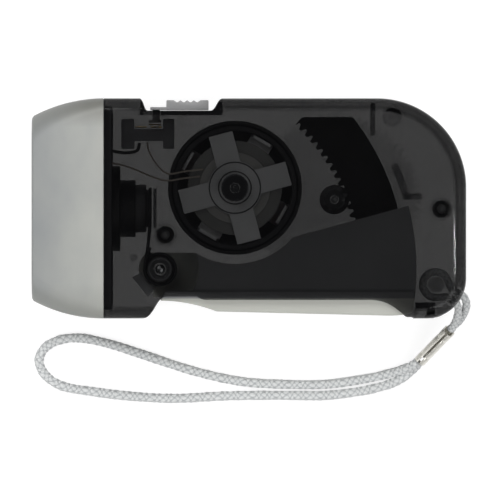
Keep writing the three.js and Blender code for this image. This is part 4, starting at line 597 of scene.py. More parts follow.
# %% The hollow body with its openings
def openings(grow=0.0, spare=0.0):
    """The solids that cut the lever's room, the recess, the mouth and the slots."""
    strap_slot = from_corner([(6.0, -2.6), (12.7, -2.6), (12.7, 2.6), (6.0, 2.6)])
    return [prism("swing", swing_line, wall, body_thickness - wall),
            prism("recess", recess_line(grow), -3, 33), prism("mouth", mouth_line, -3, 33),
            block(-26.5 - spare, -24.1 + spare, 23.6 - spare, 29.6, 11.1 - spare, 18.9 + spare),
            block(-25.7, -21.3, 19.5, 26.6, 12.9, 17.1),
            block(40.4, 47.9, -29.6, -25.6, 10.7, 19.3), block(41.0, 45.6, -26.6, -23.3, 12.2, 17.8),
            prism("slot", rounded(strap_slot, 1.2, 4), 13.2, 16.8)]


outside = soft_body("outside", 0, 0, body_thickness, edge_radius, joint_x)
hollow = soft_body("hollow", wall, wall, body_thickness - wall, 1.4, joint_x - 3, 6)
carved(hollow, block(-26.5, -6.2, 22.5, 29.6, -1, 31))
carved(outside, hollow, *openings())
print("hollow body with", len(outside.data.polygons), "faces")

# %% [markdown]
# ## Bosses, ribs and the finished shells
# The moving parts hang on bosses that stand on the inner faces. They are tubes and pins of the
# same clear plastic, so each shows as a dark ring or a dark disc through the shell. Joined to the
# wall they would lose the faces that make them darker than it, so they stay solids of their own
# and sit a little way inside the wall.

# %% The shells
def half_shell(z0, z1):
    """One half of the hollow body."""
    return carved(put("half", outside.data.copy()), block(-60, 60, -32, 32, z0, z1),
                  operation="INTERSECT")


def wall_core(z0, z1):
    """A thin closed band inside the side walls, which makes them as dark as their depth is."""
    core = prism("core", body_outline(2.9, joint_x - 3), z0 - 1, z1 + 1)
    carved(core, block(-26.4, -6.3, 22.55, 29.6, z0 - 2, z1 + 2))
    beside_spigot = block(joint_x - 3, joint_x + 2.4, -24.9, 24.9, z0 - 1, z1 + 1)
    return carved(prism("band", body_outline(0.08, joint_x), z0, z1, smoked_wall), core,
                  beside_spigot, *openings(0.08, 0.1))


def boss(centre, bore, radius, z0, z1):
    """A tube, or a pin where the bore is 0."""
    return turned("boss", centre, bore, radius, z0, z1, smoked_boss, soft=0.2, sides=48)


def rib(*box):
    return bevelled(block(*box, "rib", smoked_rib), 0.2)


front_screw, tail_screw = (-20.3, -6.35), (46.7, -0.1)
peg, strap_post, stop_peg = (34.85, 22.2), (45.26, -18.44), (-28.0, -11.8)
# Bosses end 0.9 mm under the outer faces, which is halfway into the wall
foot, top = 0.9, body_thickness - 0.9
# The pins of the rotor and the gear stand in blind bosses, which show as closed discs
rotor_boss = lathe("boss", [
    (0, 24.1), (1.3, 24.1), (1.3, 14.9), (2.65, 14.9), (2.65, 24.1), (3.3, 24.1), (3.3, top), (0, top)],
    smoked_rib, rotor, soft=0.2, sides=48)
gear_boss = lathe("boss", [
    (0, 24.1), (1.1, 24.1), (1.1, 14.5), (2.5, 14.5), (2.5, top), (0, top)],
    smoked_boss, gear, soft=0.2, sides=48)
pocket = carved(block(-26.3, -6.4, 22.6, 26.2, 19.2, 28.6, "pocket", smoked_rib),
                prism("cut", recess_line(0.12), 0, 40))
guide_line = arc(pivot, 62.9, 16, 24.2, 12) + arc(pivot, 61.2, 24.2, 16, 12)
front_parts = [
    half_shell(15.03, 31), wall_core(15.1, 26.8), rotor_boss, gear_boss, boss(pivot, 1.5, 2.46, 26.0, top),
    *[boss(at, 1.25, 2.2, 15.05, top) for at in (front_screw, tail_screw)],
    boss(strap_post, 0, 1.9, 15.05, top), boss(peg, 0, 1.1, 15.3, top), pocket,
    bevelled(prism("guide", guide_line, 16, top, smoked_rib), 0.2),
    rib(37.6, 41.9, 2.1, 3.6, 16, top), rib(-23.1, -22.4, -4.8, 4.8, 20.1, top)]
rear_parts = [
    half_shell(-1, 14.97), wall_core(3.2, 14.9),
    boss(rotor, 1.3, 2.65, foot, 5.3), boss(gear, 1.1, 2.65, foot, 5.3), boss(pivot, 1.5, 2.9, foot, 3.55),
    *[boss(at, 1.25, 2.2, 2.5, 14.95) for at in (front_screw, tail_screw)],
    *[boss(at, 2.4, 2.8, foot, 4.2) for at in (front_screw, tail_screw)],
    boss(strap_post, 0, 1.9, foot, 14.95), boss(peg, 1.4, 2.3, foot, 14.7), boss(stop_peg, 0, 0.9, foot, 18),
    rib(-23.1, -22.4, -4.8, 4.8, foot, 14.95), rib(29.5, 30.7, 17.8, 25.7, foot, 6)]
bpy.data.objects.remove(outside)
for node, parts in (("front_shell", front_parts), ("rear_shell", rear_parts)):
    shell = merged(node + "_smoked", parts, *SMOKED)
    hand_over(shell, node)
    print(node, "with", len(shell.data.polygons), "faces")

# %% [markdown]
# ## The lamp head
# The head is one moulding of frosted silver acrylic. It starts as the body's own section and draws
# in on a round of 36.9 mm while its corners grow softer, so it is lofted through rounded
# rectangles. One loft runs the whole way round the wall: out along the outside, over the rim, and
# back along the lens seat and the room inside. A scaled block would have corners of one size.

# %% Frosted and clear plastic
# The head is satin silver plastic that lets a little of the bowl behind it shine through
head_abs, tree, place = new_material("frosted_silver_acrylic")
drawn = add(tree, "Mapping", {"Vector": place, "Scale": (1.4, 0.8, 1)})
cloud = add(tree, "TexNoise", {"Vector": drawn, "Scale": 70, "Detail": 3, "Roughness": 0.55})
grit = add(tree, "TexNoise", {"Vector": place, "Scale": 2600, "Detail": 3})
slant = add(tree, "LayerWeight", {"Blend": 0.5})
dent = add(tree, "Bump", {"Strength": 0.06, "Distance": 0.0002, "Height": grit})
split = add(tree, "SeparateXYZ", {"Vector": place})
# The tone is darker at the rim and paler towards the neck
back = add(tree, "MapRange", {"Value": split.outputs["X"], "From Min": -0.0525, "From Max": -0.036})
rim, neck = [add(tree, "Mix", {0: cloud, 6: linear(low), 7: linear(high)}, data_type="RGBA")
             for low, high in ((0x8E9397, 0xA1A29F), (0xABADAC, 0xBBBCB4))]
tone = add(tree, "Mix", {0: back, 6: rim, 7: neck}, data_type="RGBA")
# Painted shade darkens the rounded sides: along the bottom, along the top mostly near the neck, and where
# they are seen aslant
bottom_edge_shade = add(tree, "MapRange", {
    "Value": split.outputs["Y"], "From Min": -0.018, "From Max": -0.0264, "To Max": 0.6})
top_shade_near_neck = add(tree, "MapRange", {"Value": back, "From Min": 0.2, "From Max": 0.8, "To Min": 0.5})
over = add(tree, "MapRange", {
    "Value": split.outputs["Y"], "From Min": 0.0195, "From Max": 0.0255, "To Max": top_shade_near_neck})
# Painted shade: darker greys for the bottom edge, the top edge and the slanted sides
for share, colour in ((bottom_edge_shade, 0x8A8B85), (over, 0x7E7E78),
                      (slant.outputs["Facing"], 0x8E908B)):
    tone = add(tree, "Mix", {0: share, 6: tone, 7: linear(colour)}, data_type="RGBA")
gloss, haze = [add(tree, "MapRange", {**SPREAD, "Value": cloud, "To Min": low, "To Max": high})
               for low, high in ((0.34, 0.46), (0.84, 0.9))]
shader = add(tree, "BsdfPrincipled", {
    "Base Color": tone, "Roughness": gloss, "Specular IOR Level": 0.4, "Alpha": haze, "Normal": dent})
add(tree, "OutputMaterial", {"Surface": shader})


def clear(name, colour, alpha, rough):
    """A clear moulding, drawn as a thin partly clear surface."""
    material, tree, place = new_material(name)
    broad = add(tree, "TexNoise", {"Vector": place, "Scale": 80, "Detail": 2})
    gloss, haze = [add(tree, "MapRange", {
        **SPREAD, "Value": broad, "To Min": low, "To Max": high})
        for low, high in ((rough * 0.8, rough * 1.3), (alpha * 0.9, alpha * 1.1))]
    shader = add(tree, "BsdfPrincipled", {
        "Base Color": linear(colour), "Roughness": gloss, "Alpha": haze})
    add(tree, "OutputMaterial", {"Surface": shader})
    return material


print("head material with", len(tree.nodes), "nodes")

# %% The head and its lens
head_length, head_radius = 17.5, 36.9


def section(x, inset, steps=10):
    """The head's rounded rectangle at a place along it, drawn in by an inset."""
    run = max(0.0, joint_x - x)
    drop = head_radius - math.sqrt(head_radius ** 2 - run ** 2)
    corner = edge_radius + (7 - edge_radius) * run / head_length - inset
    corner = max(corner, edge_radius / 3)
    half_y, half_z = half_height - drop - inset - corner, middle - 0.4 * drop - inset - corner
    return [point for centre, start in (
        ((half_y, half_z), 0), ((-half_y, half_z), 90), ((-half_y, -half_z), 180), ((half_y, -half_z), 270))
        for point in arc(centre, corner, start, start + 90, steps)]


def lofted(name, stations, material=None, closed=False):
    """A loft through sections: its place, the place it is like, its inset and its share."""
    loops = [[(x, y * share, middle + z * share) for y, z in section(like, inset)]
             for x, like, inset, share in stations]
    return piece(name, *shape(loops, closed), material)


stations = [(-33.1, joint_x, 3.5), (-33.1, joint_x, 2.25), (-33.25, joint_x, 2.1),
            (-35.05, joint_x, 2.1), (-35.05, joint_x, 0.15), (-35.2, -35.2, 0)]
stations += [(x, x, 0) for x in [-35.2 - 16.6 * i / 24 for i in range(1, 25)]]
for i in range(1, 9):
    angle = math.pi / 2 * i / 8
    x = -51.8 - 0.7 * math.sin(angle)
    stations.append((x, x, 0.7 * (1 - math.cos(angle))))
stations += [(-52.4, -52.1, 1.7), (-50.3, -52.1, 1.7), (-50.3, -50.3, 2.6), (-49.75, -49.75, 2.6)]
stations += [(x, x, 1.7) for x in [-49.75 + 12.85 * i / 12 for i in range(13)]]
stations.append((-36.9, joint_x, 3.5))
head = lofted("lamp_head", [(*station, 1) for station in stations], head_abs, closed=True)
# The spigot behind the head is coated dark, which keeps stray light out of the body
head.data.materials.append(plastic("black_spigot_coat", 0x48484C, 0.5, 0.05, 0.2))
for face in head.data.polygons:
    face.material_index = int(face.center.x > -0.03501)
hand_over(head, "head_bezel")
# The lens is crowned outwards by less than 0.1 mm
stations = [(-51.95 - 0.1 * (1 - share), -52.1, 2.25, share) for share in (0.2, 0.4, 0.6, 0.8)]
stations += [(x, -52.1, inset, 1) for x, inset in (
    (-51.95, 2.25), (-51.7, 2.0), (-50.75, 2.0), (-50.6, 2.15))]
lens = lofted("lens_window", stations, clear("clear_acrylic", 0xE8EEF0, 0.16, 0.05))
hand_over(lens, "lens")
print("head and lens ready")

# %% [markdown]
# ## The lamps, their bowl and the cells
# Behind the lens sits a moulded bowl with a mirror coat, and three 5 mm lamps stand in holes in
# its floor. Bowl, carrier and cells are round about the head's axis, so their profiles are turned
# and the bores cut out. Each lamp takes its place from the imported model.

# %% The bowl and the lamps
axis = (0, middle)
bowl_line = [(8.2 + 2.8 * math.sqrt(1 - i / 24), -49.45 + 10.4 * i / 24) for i in range(25)]
outer = [(0, -49.45), *[(r + 0.8, x) for r, x in bowl_line], (0, -39.05)]
inner = [(0, -52.0), (11.0, -52.0), *bowl_line[:-1], (8.2, -39.85), (0, -39.85)]
bowl = lofted("reflector_bowl", [(x, -49.45, 2.0, 1) for x in (-49.45, -48.45)])
carved(bowl, lathe("outer", outer, None, axis, "x", 0), operation="UNION")
carved(bowl, lathe("inner", inner, None, axis, "x", 0),
       *[turned("hole", polar(axis, 4, a), 0, 2.8, -42, -36, along="x", soft=0, sides=48)
         for a in (0, 120, 240)])
bowl.data.materials.clear()
bowl.data.materials.append(metal("vacuum_coated_mirror", 0xE0E2E3, 0.1, mottle=0.02, bump=0.005))
hand_over(bowl, "reflector")
led_epoxy = clear("clear_epoxy", 0xEAF0F4, 0.3, 0.06)
bright_steel = metal("bright_steel", 0xD0D2D4, 0.25, (1, 1, 4))
# The lamp chip is a warm yellow phosphor under the clear dome
phosphor = plastic("yellow_phosphor", 0xD8C23A, 0.6)
dome_line = [(0, -37.5), (2.9, -37.5), (2.9, -38.5), (2.5, -38.5)]
dome_line += [(r, -x) for r, x in arc((0, 43.6), 2.5, 0, 90, 12)[:-1]] + [(0, -46.1)]
cup_line = [(0, -41.4), (0.25, -41.4), (1.1, -42.4), (1.3, -42.4), (1.3, -40.0), (0.3, -39.5),
            (0.3, -37.6), (0, -37.6)]
chip_line = [(0, -41.95), (0.75, -41.95), (0.3, -41.45), (0, -41.45)]
for i in (1, 2, 3):
    low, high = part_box(f"led_{i}")
    at = [(low[k] + high[k]) / 2 / MM for k in (1, 2)]
    lamp = merged(f"lamp_{i}", [
        lathe("dome", dome_line, led_epoxy, at, "x", 0, 48),
        lathe("cup", cup_line, bright_steel, at, "x", 0.03, 32),
        lathe("chip", chip_line, phosphor, at, "x", 0.02, 24)], led_epoxy, bright_steel, phosphor)
    hand_over(lamp, f"led_{i}")
print("three lamps in the bowl")

# %% Board, carrier and cells
board = turned("lamp_board", axis, 0, 9.5, -37.2, -36.0,
               plastic("green_board", 0x2C5A3C, 0.4, 0.05, 0.12), along="x", soft=0.1)
hand_over(board, "led_board")
black_abs = plastic("black_abs", 0x18181A, 0.5, 0.05, 0.15)
carrier = lofted("lamp_carrier_moulding", [(x, -38.4, 2.0, 1) for x in (-38.4, -37.2)])
carved(carrier, lathe("body", [(0, -38.0), (10.3, -38.0), (10.3, -31.2), (6.9, -31.2), (6.9, -27.5),
                               (0, -27.5)], None, axis, "x", 0.25), operation="UNION")
carved(carrier, lathe("bore", [(0, -41), (9.8, -41), (9.8, -35.7), (6.1, -35.7), (6.1, -24), (0, -24)],
                      None, axis, "x", 0))
carrier.data.materials.append(black_abs)
hand_over(carrier, "lamp_carrier")
# The cells' cans have dulled
dull_nickel = metal("dulled_nickel_plate", 0x68686A, 0.55, pure=0.5)
for i in (1, 2):
    x = -41.1 + 5.7 * i
    cell = lathe(f"cell_{i}", [(0, x), (5.8, x), (5.8, x + 4.8), (4.6, x + 4.8), (4.6, x + 5.4),
                               (0, x + 5.4)], dull_nickel, axis, "x", 0.3)
    hand_over(cell, f"button_cell_{i}")
end_contact = turned("end_contact", axis, 0, 4.8, -24.0, -23.6, dull_nickel, along="x", soft=0.08)
hand_over(end_contact, "cell_contact")
print("head ready")

# %% [markdown]
# ## The switch
# The knob is a small ridged moulding that slides in the recess. Its skirt covers the slot, its
# stem goes through the wall, and a brass bridge under its foot joins the two fixed contacts. The
# ridges are part of the knob's outline, which keeps them exact where a bump would look painted.

# %% The switch
ridges = [(-18.2 + 1.62 * i + dx, y) for i in range(4) for dx, y in ((0, 26.25), (0.81, 25.65))]
knob_line = [(-20, 23.9), (-20, 26.25), *ridges, (-11.72, 26.25), (-9.8, 26.25), (-9.8, 23.9)]
# The middle crest, its point 6, is left sharp
knob = prism("switch_knob_moulding", rounded(knob_line, 0.22, 3, keep=[6])[::-1], 10, 20,
             plastic("mid_grey_abs", 0xB3B3B4, 0.42, 0.04, 0.03, grain=1300))
carved(knob, block(-23.9, -14.9, 23.9, 24.6, 11.4, 18.6), block(-23.4, -21.6, 20.8, 24.6, 13.2, 16.8),
       block(-24.3, -21.3, 20.8, 21.5, 13.2, 16.8), operation="UNION")
hand_over(bevelled(knob, 0.12, limit=50), "switch_knob", "switch_slider")
brass = metal("brass", 0xC8A85C, 0.28)
wiper = bevelled(block(-24.3, -21.3, 20.2, 20.5, 13.2, 16.8, "switch_bridge", brass), 0.08)
hand_over(wiper, "switch_wiper", "switch_slider")
base = block(-30.9, -27.8, 14.5, 21.7, 10, 20, "switch_block",
             plastic("dark_grey_polyester", 0x727275, 0.5, 0.05, 0.2))
carved(base, block(-20.8, -18.1, 14.5, 21.7, 10, 20), block(-30.9, -18.1, 16.4, 19.3, 10, 20),
       operation="UNION")
hand_over(bevelled(base, 0.2), "switch_base")
for i, x in ((1, -27.5), (2, -23.8)):
    strip = bevelled(block(x, x + 2.7, 19.6, 19.9, 11.4, 18.6, f"fixed_contact_{i}", brass), 0.08)
    hand_over(strip, f"switch_contact_{i}")
print("switch ready")

# %% [markdown]
# ## The lever and its lock
# The lever is one moulding: a rounded grip along the lower edge, a tray above it that reaches
# under the shell, and a hub at its left end. The grip's edges are rounded first, and the rest is
# joined to it from plain solids. One round for the whole would also soften the tray's thin rim.

# %% The lever
def disc(radius, z0, z1, at=pivot, sides=64):
    """A plain round solid, for hubs, posts and bores."""
    return turned("disc", at, 0, radius, z0, z1, soft=0, sides=sides)


def tray(inset, z0, z1):
    """The part of the lever above the grip, drawn in by an inset."""
    start, end = polar((0, 0), lever_length / 3, 12.6), polar((0, 0), lever_length + 3, 14.4)
    line = [(1.2 + inset, 4 - inset), (rotor[0] - pivot[0], 4 - inset), (start[0], start[1] - inset),
            (end[0], end[1] - inset), (end[0], -6.7 - inset), (1.2 + inset, -6.7 - inset)]
    made = prism("tray", line, z0, z1, None, pivot)
    carved(made, disc(lever_length - inset, -1, 31, pivot, 360), operation="INTERSECT")
    return carved(made, disc(18.4 + inset, -1, 31, rotor, 128))


grey_abs = plastic("light_grey_abs", 0xB7B8B1, 0.4, 0.04, 0.03, grain=1300)
sector_radius = 59.5
screw_places = [polar(pivot, sector_radius - 4.6, 9.5 + way * 1.96) for way in (-1, 1)]
tip_x, high_x = [math.sqrt(lever_length ** 2 - y ** 2) for y in (10.2, 5.2)]
grip_line = [(1.2, -5.2), (0, -7.6), *bezier((0, -7.6), (6.85, -7.6), (13.7, -10.2)), (55, -11.2),
             *bezier((55, -11.2), (tip_x - 0.9, -11.2), (tip_x, -10.2)), (high_x, -5.2)]
lever = bevelled(prism("squeeze_lever", grip_line, 3, 27, grey_abs, pivot), 0.9, 5, 50)
carved(lever, block(11, 56.5, -8, 0, 4.6, 24, place=pivot))
upper = carved(tray(0, 14, 26), tray(1.6, 11, 24), disc(9.4, 16.4, 30))
hub_disc = carved(disc(9.4, 14, 16.4), block(-1.7, 20, -6.8, 4, 0, 30, place=pivot),
                  operation="INTERSECT")
hub_root = carved(disc(5.2, 14, 16.4), block(-5.2, 5.2, -5.2, 4, 0, 30, place=pivot),
                  operation="INTERSECT")
heel = prism("heel", [(-2.9, 0), (-6.8, -1.93), (-2.9, -6.8), (0, -2.9)], 14, 18, None, pivot)
carved(lever, upper, hub_disc, hub_root, heel, disc(2.9, 3.85, 25.7),
       *[disc(1.8, 14, 25, at) for at in screw_places], operation="UNION")
# The lock's catch, the pin's bore, the room for the spring and the screws' holes
carved(lever, block(59.07, 65, -9.85, -7.75, 11, 19, place=pivot), disc(1.5, 0, 30),
       carved(disc(4.4, 16.4, 25.7), disc(2.9, 0, 30)),
       *[disc(1.0, 0, 17.9, at) for at in screw_places])
# The arm, which stays inside the body, is a darker grey than the grip
lever.data.materials.append(plastic("slate_grey_abs", 0x858688, 0.45, 0.04, 0.05, grain=1300))
arm_low = -21.75
work = bmesh.new()
work.from_mesh(lever.data)
bmesh.ops.bisect_plane(work, geom=[*work.verts, *work.edges, *work.faces],
                       plane_co=(0, arm_low * MM, 0), plane_no=(0, 1, 0))
for face in work.faces:
    at = face.calc_center_median() / MM
    face.material_index = int(at.y > arm_low and not (at.z < 16.6 and at.x < pivot[0] + 9.6))
work.to_mesh(lever.data)
work.free()
hand_over(lever, "lever", "lever_arm")
print("lever with", len(lever.data.polygons), "faces")

# %% The lock
lock = block(42.6, 47.6, -26.6, -25.9, 11, 19, "lock_slide",
             plastic("dark_grey_acetal", 0x48484A, 0.4, 0.03, 0.1))
carved(lock, *[block(x - 0.21, x + 0.21, -27, -26.25, 0, 30) for x in (43.85, 45.1, 46.35)])
carved(lock, block(43.05, 45.15, -26.25, -22.75, 12.5, 17.5),
       block(40.35, 44.25, -24.25, -22.75, 12.5, 17.5), operation="UNION")
# The slide's underside follows the body's edge
carved(lock, prism("edge", body_outline(-0.15, joint_x), 0, 30), operation="INTERSECT")
hand_over(bevelled(lock, 0.12, limit=50), "lever_lock", "lock_slider")
print("lock with", len(lock.data.polygons), "faces")

# %% [markdown]
# ## The gears
# The sector and the drive pinion are moulded acetal, the wheel is a clear moulding and the rotor's
# pinion is brass. Their teeth are involutes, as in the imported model, with more points along each
# flank. A tooth's half width at a radius is its half width at the pitch circle, plus the involute
# there, less the involute at that radius. Straight teeth would mesh badly.

# %% Gears
def tooth(teeth, module, root, tip, slack, turn, steps=6):
    """The two involute flanks of a tooth that stands at a turn in degrees."""
    pitch, pressure = teeth * module / 2, math.radians(20)
    base = pitch * math.cos(pressure)
    flank = []
    for i in range(steps + 1):
        radius = root + (tip - root) * i / steps
        reached = math.acos(base / max(radius, base))
        half = (math.pi / (2 * teeth) - slack / pitch
                + math.tan(pressure) - pressure - math.tan(reached) + reached)
        flank.append((radius, math.degrees(half)))
    return ([polar((0, 0), radius, turn - half) for radius, half in flank]
            + [polar((0, 0), radius, turn + half) for radius, half in flank[::-1]])


def toothed(teeth, module, tip, root, turn, steps=6):
    """A gear's outline, whose teeth reach out and in by shares of the module."""
    pitch = teeth * module / 2
    return [point for i in range(teeth) for point in tooth(
        teeth, module, pitch - root * module, pitch + tip * module, 0.05, turn + 360 * i / teeth, steps)]


def finished(obj, width, node, body):
    """Rounds a gear's edges a little and hands it over."""
    hand_over(bevelled(obj, width, 1, 50), node, body)


# The wheel is faintly tinted: the photo shows no dark disc there
wheel = prism("large_gear_wheel", toothed(68, 0.6, 0.8, 1.3, 173.4), 6.6, 8.6,
              clear("grey_tinted_polycarbonate", 0x2A2B2D, 0.15, 0.08), gear)
carved(wheel, turned("hub", gear, 0, 3.8, 5.6, 9.4, soft=0.2, sides=64), operation="UNION")
# Its web is sunk on both sides
carved(wheel, *[turned("sink", gear, 3.8, 17.26, z0, z1, soft=0) for z0, z1 in ((5, 7.1), (8.1, 9))],
       disc(1.1, 0, 30, gear, 48))
finished(wheel, 0.07, "large_wheel", "gear_shaft")

pinion = prism("drive_pinion_gear", toothed(8, 0.65, 1, 0.72, 21.8, 8), 10.15, 14.2,
               plastic("grey_acetal", 0x6A6A6C, 0.4, 0.03, 0.1), gear)
carved(pinion, turned("flange", gear, 0, 3.6, 9.7, 10.6, soft=0.12, sides=64), operation="UNION")
finished(carved(pinion, disc(1.1, 0, 30, gear, 48)), 0.06, "drive_pinion", "gear_shaft")

small = prism("rotor_pinion_gear", toothed(13, 0.6, 1, 1.3, 353.4 + 180 / 13), 5.6, 9.0, brass, rotor)
finished(carved(small, disc(1.3, 0, 30, rotor, 48)), 0.06, "rotor_pinion", "rotor")

# The sector is a part of a ring of 148 teeth, of which one stands at 21.8 degrees
step, tooth_turn, low_turn, high_turn = 360 / 148, 21.8, 12.2, 47.4
sector_line = arc((0, 0), sector_radius, 4.6, high_turn, 64)
first, last = math.ceil((low_turn - tooth_turn) / step), math.floor((high_turn - tooth_turn) / step)
for i in range(last, first - 1, -1):
    sector_line += tooth(148, 0.65, 47.8075, 48.9125, -0.05, tooth_turn + i * step)[::-1]
sector_line += [polar((0, 0), radius, turn) for radius, turn in (
    (47.8075, low_turn - step / 2), (50.6, low_turn - step), (50.6, 4.6))]
sector = prism("toothed_sector", sector_line, 10.9, 13.7,
               plastic("black_acetal", 0x0E0E0F, 0.4, 0.03, 0.15, 0.3), pivot)
carved(sector, block(-60, 60, 22.2, 60, 0, 30), *[disc(1.0, 0, 30, at, 32) for at in screw_places])
finished(sector, 0.08, "sector_gear", "lever_arm")
print("gears ready")

# %% [markdown]
# ## The generator
# A black cup with a ring magnet turns round a fixed coil between two pressed claw plates. The
# plates' claws stand in turn round the coil, so the magnet's poles reverse its field as they pass.
# Each plate is one arm repeated four times, which a small geometry net does. The coil is a core
# with rings of wire stacked round it, because only its outer layer is seen.

# %% Cup, magnet and bobbin
cup = lathe("rotor_cup_steel", [
    (1.3, 9.3), (3, 9.3), (3, 13.2), (16.2, 13.2), (16.2, 23.4), (15.3, 23.4), (15.3, 14.4), (1.3, 14.4)],
    black_abs, rotor, soft=0.25, sides=160)
hand_over(cup, "rotor_cup", "rotor")
magnet = turned("ring_magnet_ferrite", rotor, 13.8, 15.0, 14.7, 23.4,
                plastic("black_ferrite", 0x2A2A2D, 0.55, 0.08, 0.2), soft=0.2, sides=160)
hand_over(magnet, "ring_magnet", "rotor")
# Natural nylon is milky, and the coil shows darker through the thin outer part of the flange
bobbin = lathe("coil_bobbin_moulding", [
    (2.95, 16.3), (11.4, 16.3), (11.4, 17.0), (4.1, 17.0), (4.1, 22.0), (11.4, 22.0), (11.4, 22.5),
    (8.75, 22.5), (8.6, 22.7), (2.95, 22.7)],
    plastic("natural_nylon", 0xB2B1AE, 0.45, 0.03, 0.04), rotor, soft=0.12)
bobbin.data.materials.append(plastic("natural_nylon_thin", 0x8A8A88, 0.45, 0.03, 0.04))
for face in bobbin.data.polygons:
    x, y, z = face.center / MM
    face.material_index = int(math.hypot(x - rotor[0], y - rotor[1]) > 8.5 and z > 22.3)
hand_over(bobbin, "coil_bobbin")
print("cup, magnet and bobbin ready")

# %% The claw plates
# The claws and screws have a dull zinc coat, which scatters most of its light
claw_steel = metal("zinc_plated_steel", 0xDEDFE0, 0.5, pure=0.35)


def repeated(obj, copies, turn):
    """An object repeated round the Z axis by a geometry net, from a turn in degrees."""
    net = bpy.data.node_groups.new(obj.name + "_net", "GeometryNodeTree")
    for way in ("INPUT", "OUTPUT"):
        net.interface.new_socket("Geometry", in_out=way, socket_type="NodeSocketGeometry")
    count = net.interface.new_socket("Copies", in_out="INPUT", socket_type="NodeSocketInt")
    start = net.interface.new_socket("Turn", in_out="INPUT", socket_type="NodeSocketFloat")
    source = add(net, "NodeGroupInput")
    points = add(net, "GeometryNodeMeshLine", {"Count": source.outputs["Copies"], "Offset": (0, 0, 0)})
    number = add(net, "GeometryNodeInputIndex")
    pitch = add(net, "Math", {0: 2 * math.pi, 1: source.outputs["Copies"]},
                operation="DIVIDE")
    angle = add(net, "Math", {0: number, 1: pitch, 2: source.outputs["Turn"]}, operation="MULTIPLY_ADD")
    angles = add(net, "CombineXYZ", {"Z": angle})
    copy = add(net, "GeometryNodeInstanceOnPoints", {
        "Points": points, "Instance": source.outputs["Geometry"], "Rotation": angles})
    real = add(net, "GeometryNodeRealizeInstances", {"Geometry": copy})
    dressed = add(net, "GeometryNodeSetMaterial", {"Geometry": real, "Material": claw_steel})
    add(net, "NodeGroupOutput", {0: dressed})
    modifier = obj.modifiers.new("ring", "NODES")
    modifier.node_group = net
    modifier[count.identifier], modifier[start.identifier] = copies, math.radians(turn)
    return applied(obj)


# The grooves of the pressings are painted dark, as shade
groove_shade = plastic("painted_groove_shade", 0x626264, 0.4, 0.03, 0.1)
sheet = 0.8
for name, node, z, z_root, z_end, z_face, turn in (
        ("front_claws", "front_claw_plate", 23.0, 23.8, 16.6, 23.8, 105),
        ("rear_claws", "rear_claw_plate", 15.2, 15.2, 21.6, 15.2, 150)):
    claw = piece("claw", *shape([
        [(x, -2.95, z_root), (x, 2.95, z_root), (x, 2.4, z_end), (x, -2.4, z_end)] for x in (12.7, 13.45)]))
    arm = carved(block(4.5, 13.1, -2.95, 2.95, z, z + sheet, "arm"), claw, operation="UNION")
    plate = turned(name, (0, 0), 2.95, 6.5, z, z + sheet, soft=0.12)
    carved(plate, repeated(bevelled(arm, 0.18, 3, 50), 4, turn), operation="UNION")
    carved(plate, *[turned("groove", (0, 0), r, r + 0.35, z_face - 0.3, z_face + 0.3, soft=0)
                    for r in (3.75, 6.0)])
    plate.data.materials.clear()
    for material in (claw_steel, groove_shade):
        plate.data.materials.append(material)
    # Painted shade: the faces inside the two grooves take the dark grey
    for face in plate.data.polygons:
        x, y, height = face.center / MM
        out, deep = math.hypot(x, y), abs(height - z_face)
        face.material_index = int((3.7 < out < 4.15 or 5.95 < out < 6.4) and 0.1 < deep < 0.35)
    plate.data.transform(Matrix.Translation((rotor[0] * MM, rotor[1] * MM, 0)))
    hand_over(plate, node)
    print(name, "with", len(plate.data.polygons), "faces")

# %% The coil
wire, coil_radius, z0, z1 = 0.22, 10.7, 17.3, 21.7
wire_line = arc((coil_radius - wire / 2, 0), wire / 2, 0, 300, 5)
parts = [turned("core", rotor, 4.4, coil_radius - wire / 2, z0, z1, soft=0.05)]
for row in range(int((z1 - z0) / wire)):
    z = z0 + wire * (row + 0.5)
    parts.append(piece("turn", *shape([
        [(*polar(rotor, r, 5 * i), z + h) for r, h in wire_line] for i in range(72)], closed=True)))
winding = merged("coil_winding_wire", parts, metal("enamelled_copper", 0xB4612F, 0.3, (1, 1, 6), 0.2))
hand_over(winding, "coil_winding")
print(len(parts) - 1, "rings of wire")

# %% [markdown]
# ## Spring, pins, screws and leads
# What is left is turned or drawn: the return spring on the lever's hub, the steel pins, the
# screws that hold the halves and the sector, and three thin leads. Wire is swept along its route,
# and pins and screws are turned profiles. A screw's thread is rings, as its slope isn't seen.

# %% Spring
spring_route = [(-2.4, 19.7, 22.5), (-2.4, 13.13, 22.5), (-2.8, 6.57, 22.5)]
spring_route += [(*polar((0, 0), 3.7, 15 * i - 180), 22.5 - 5.4 * i / 96) for i in range(97)]
spring_route = [(pivot[0] + x, pivot[1] + y, z) for x, y, z in [*spring_route, (-2.47, 5.33, 17.1)]]
# Spring wire keeps the dark phosphate that it was drawn with
spring_steel = metal("phosphated_spring_steel", 0x38383A, 0.5, (1, 1, 4), pure=0.35)
spring = tube("return_spring", spring_route, 0.4, spring_steel, 0.35)[0]
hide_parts("torsion_spring")
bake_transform(spring)
print("spring with", len(spring.data.polygons), "faces")

# %% Pins, screws and leads
for name, at, radius, z1, steel in (
        ("pivot_pin", pivot, 1.2, 27.6, bright_steel), ("gear_pin", gear, 0.8, 23.8, claw_steel),
        ("rotor_axle", rotor, 1.0, 23.8, claw_steel)):
    line = [(0, 2.1), (radius, 2.1), (radius, z1 - 0.25 * radius), (0, z1)]
    hand_over(lathe(name + "_steel", line, steel, at, "z", 0.6, 48), name)


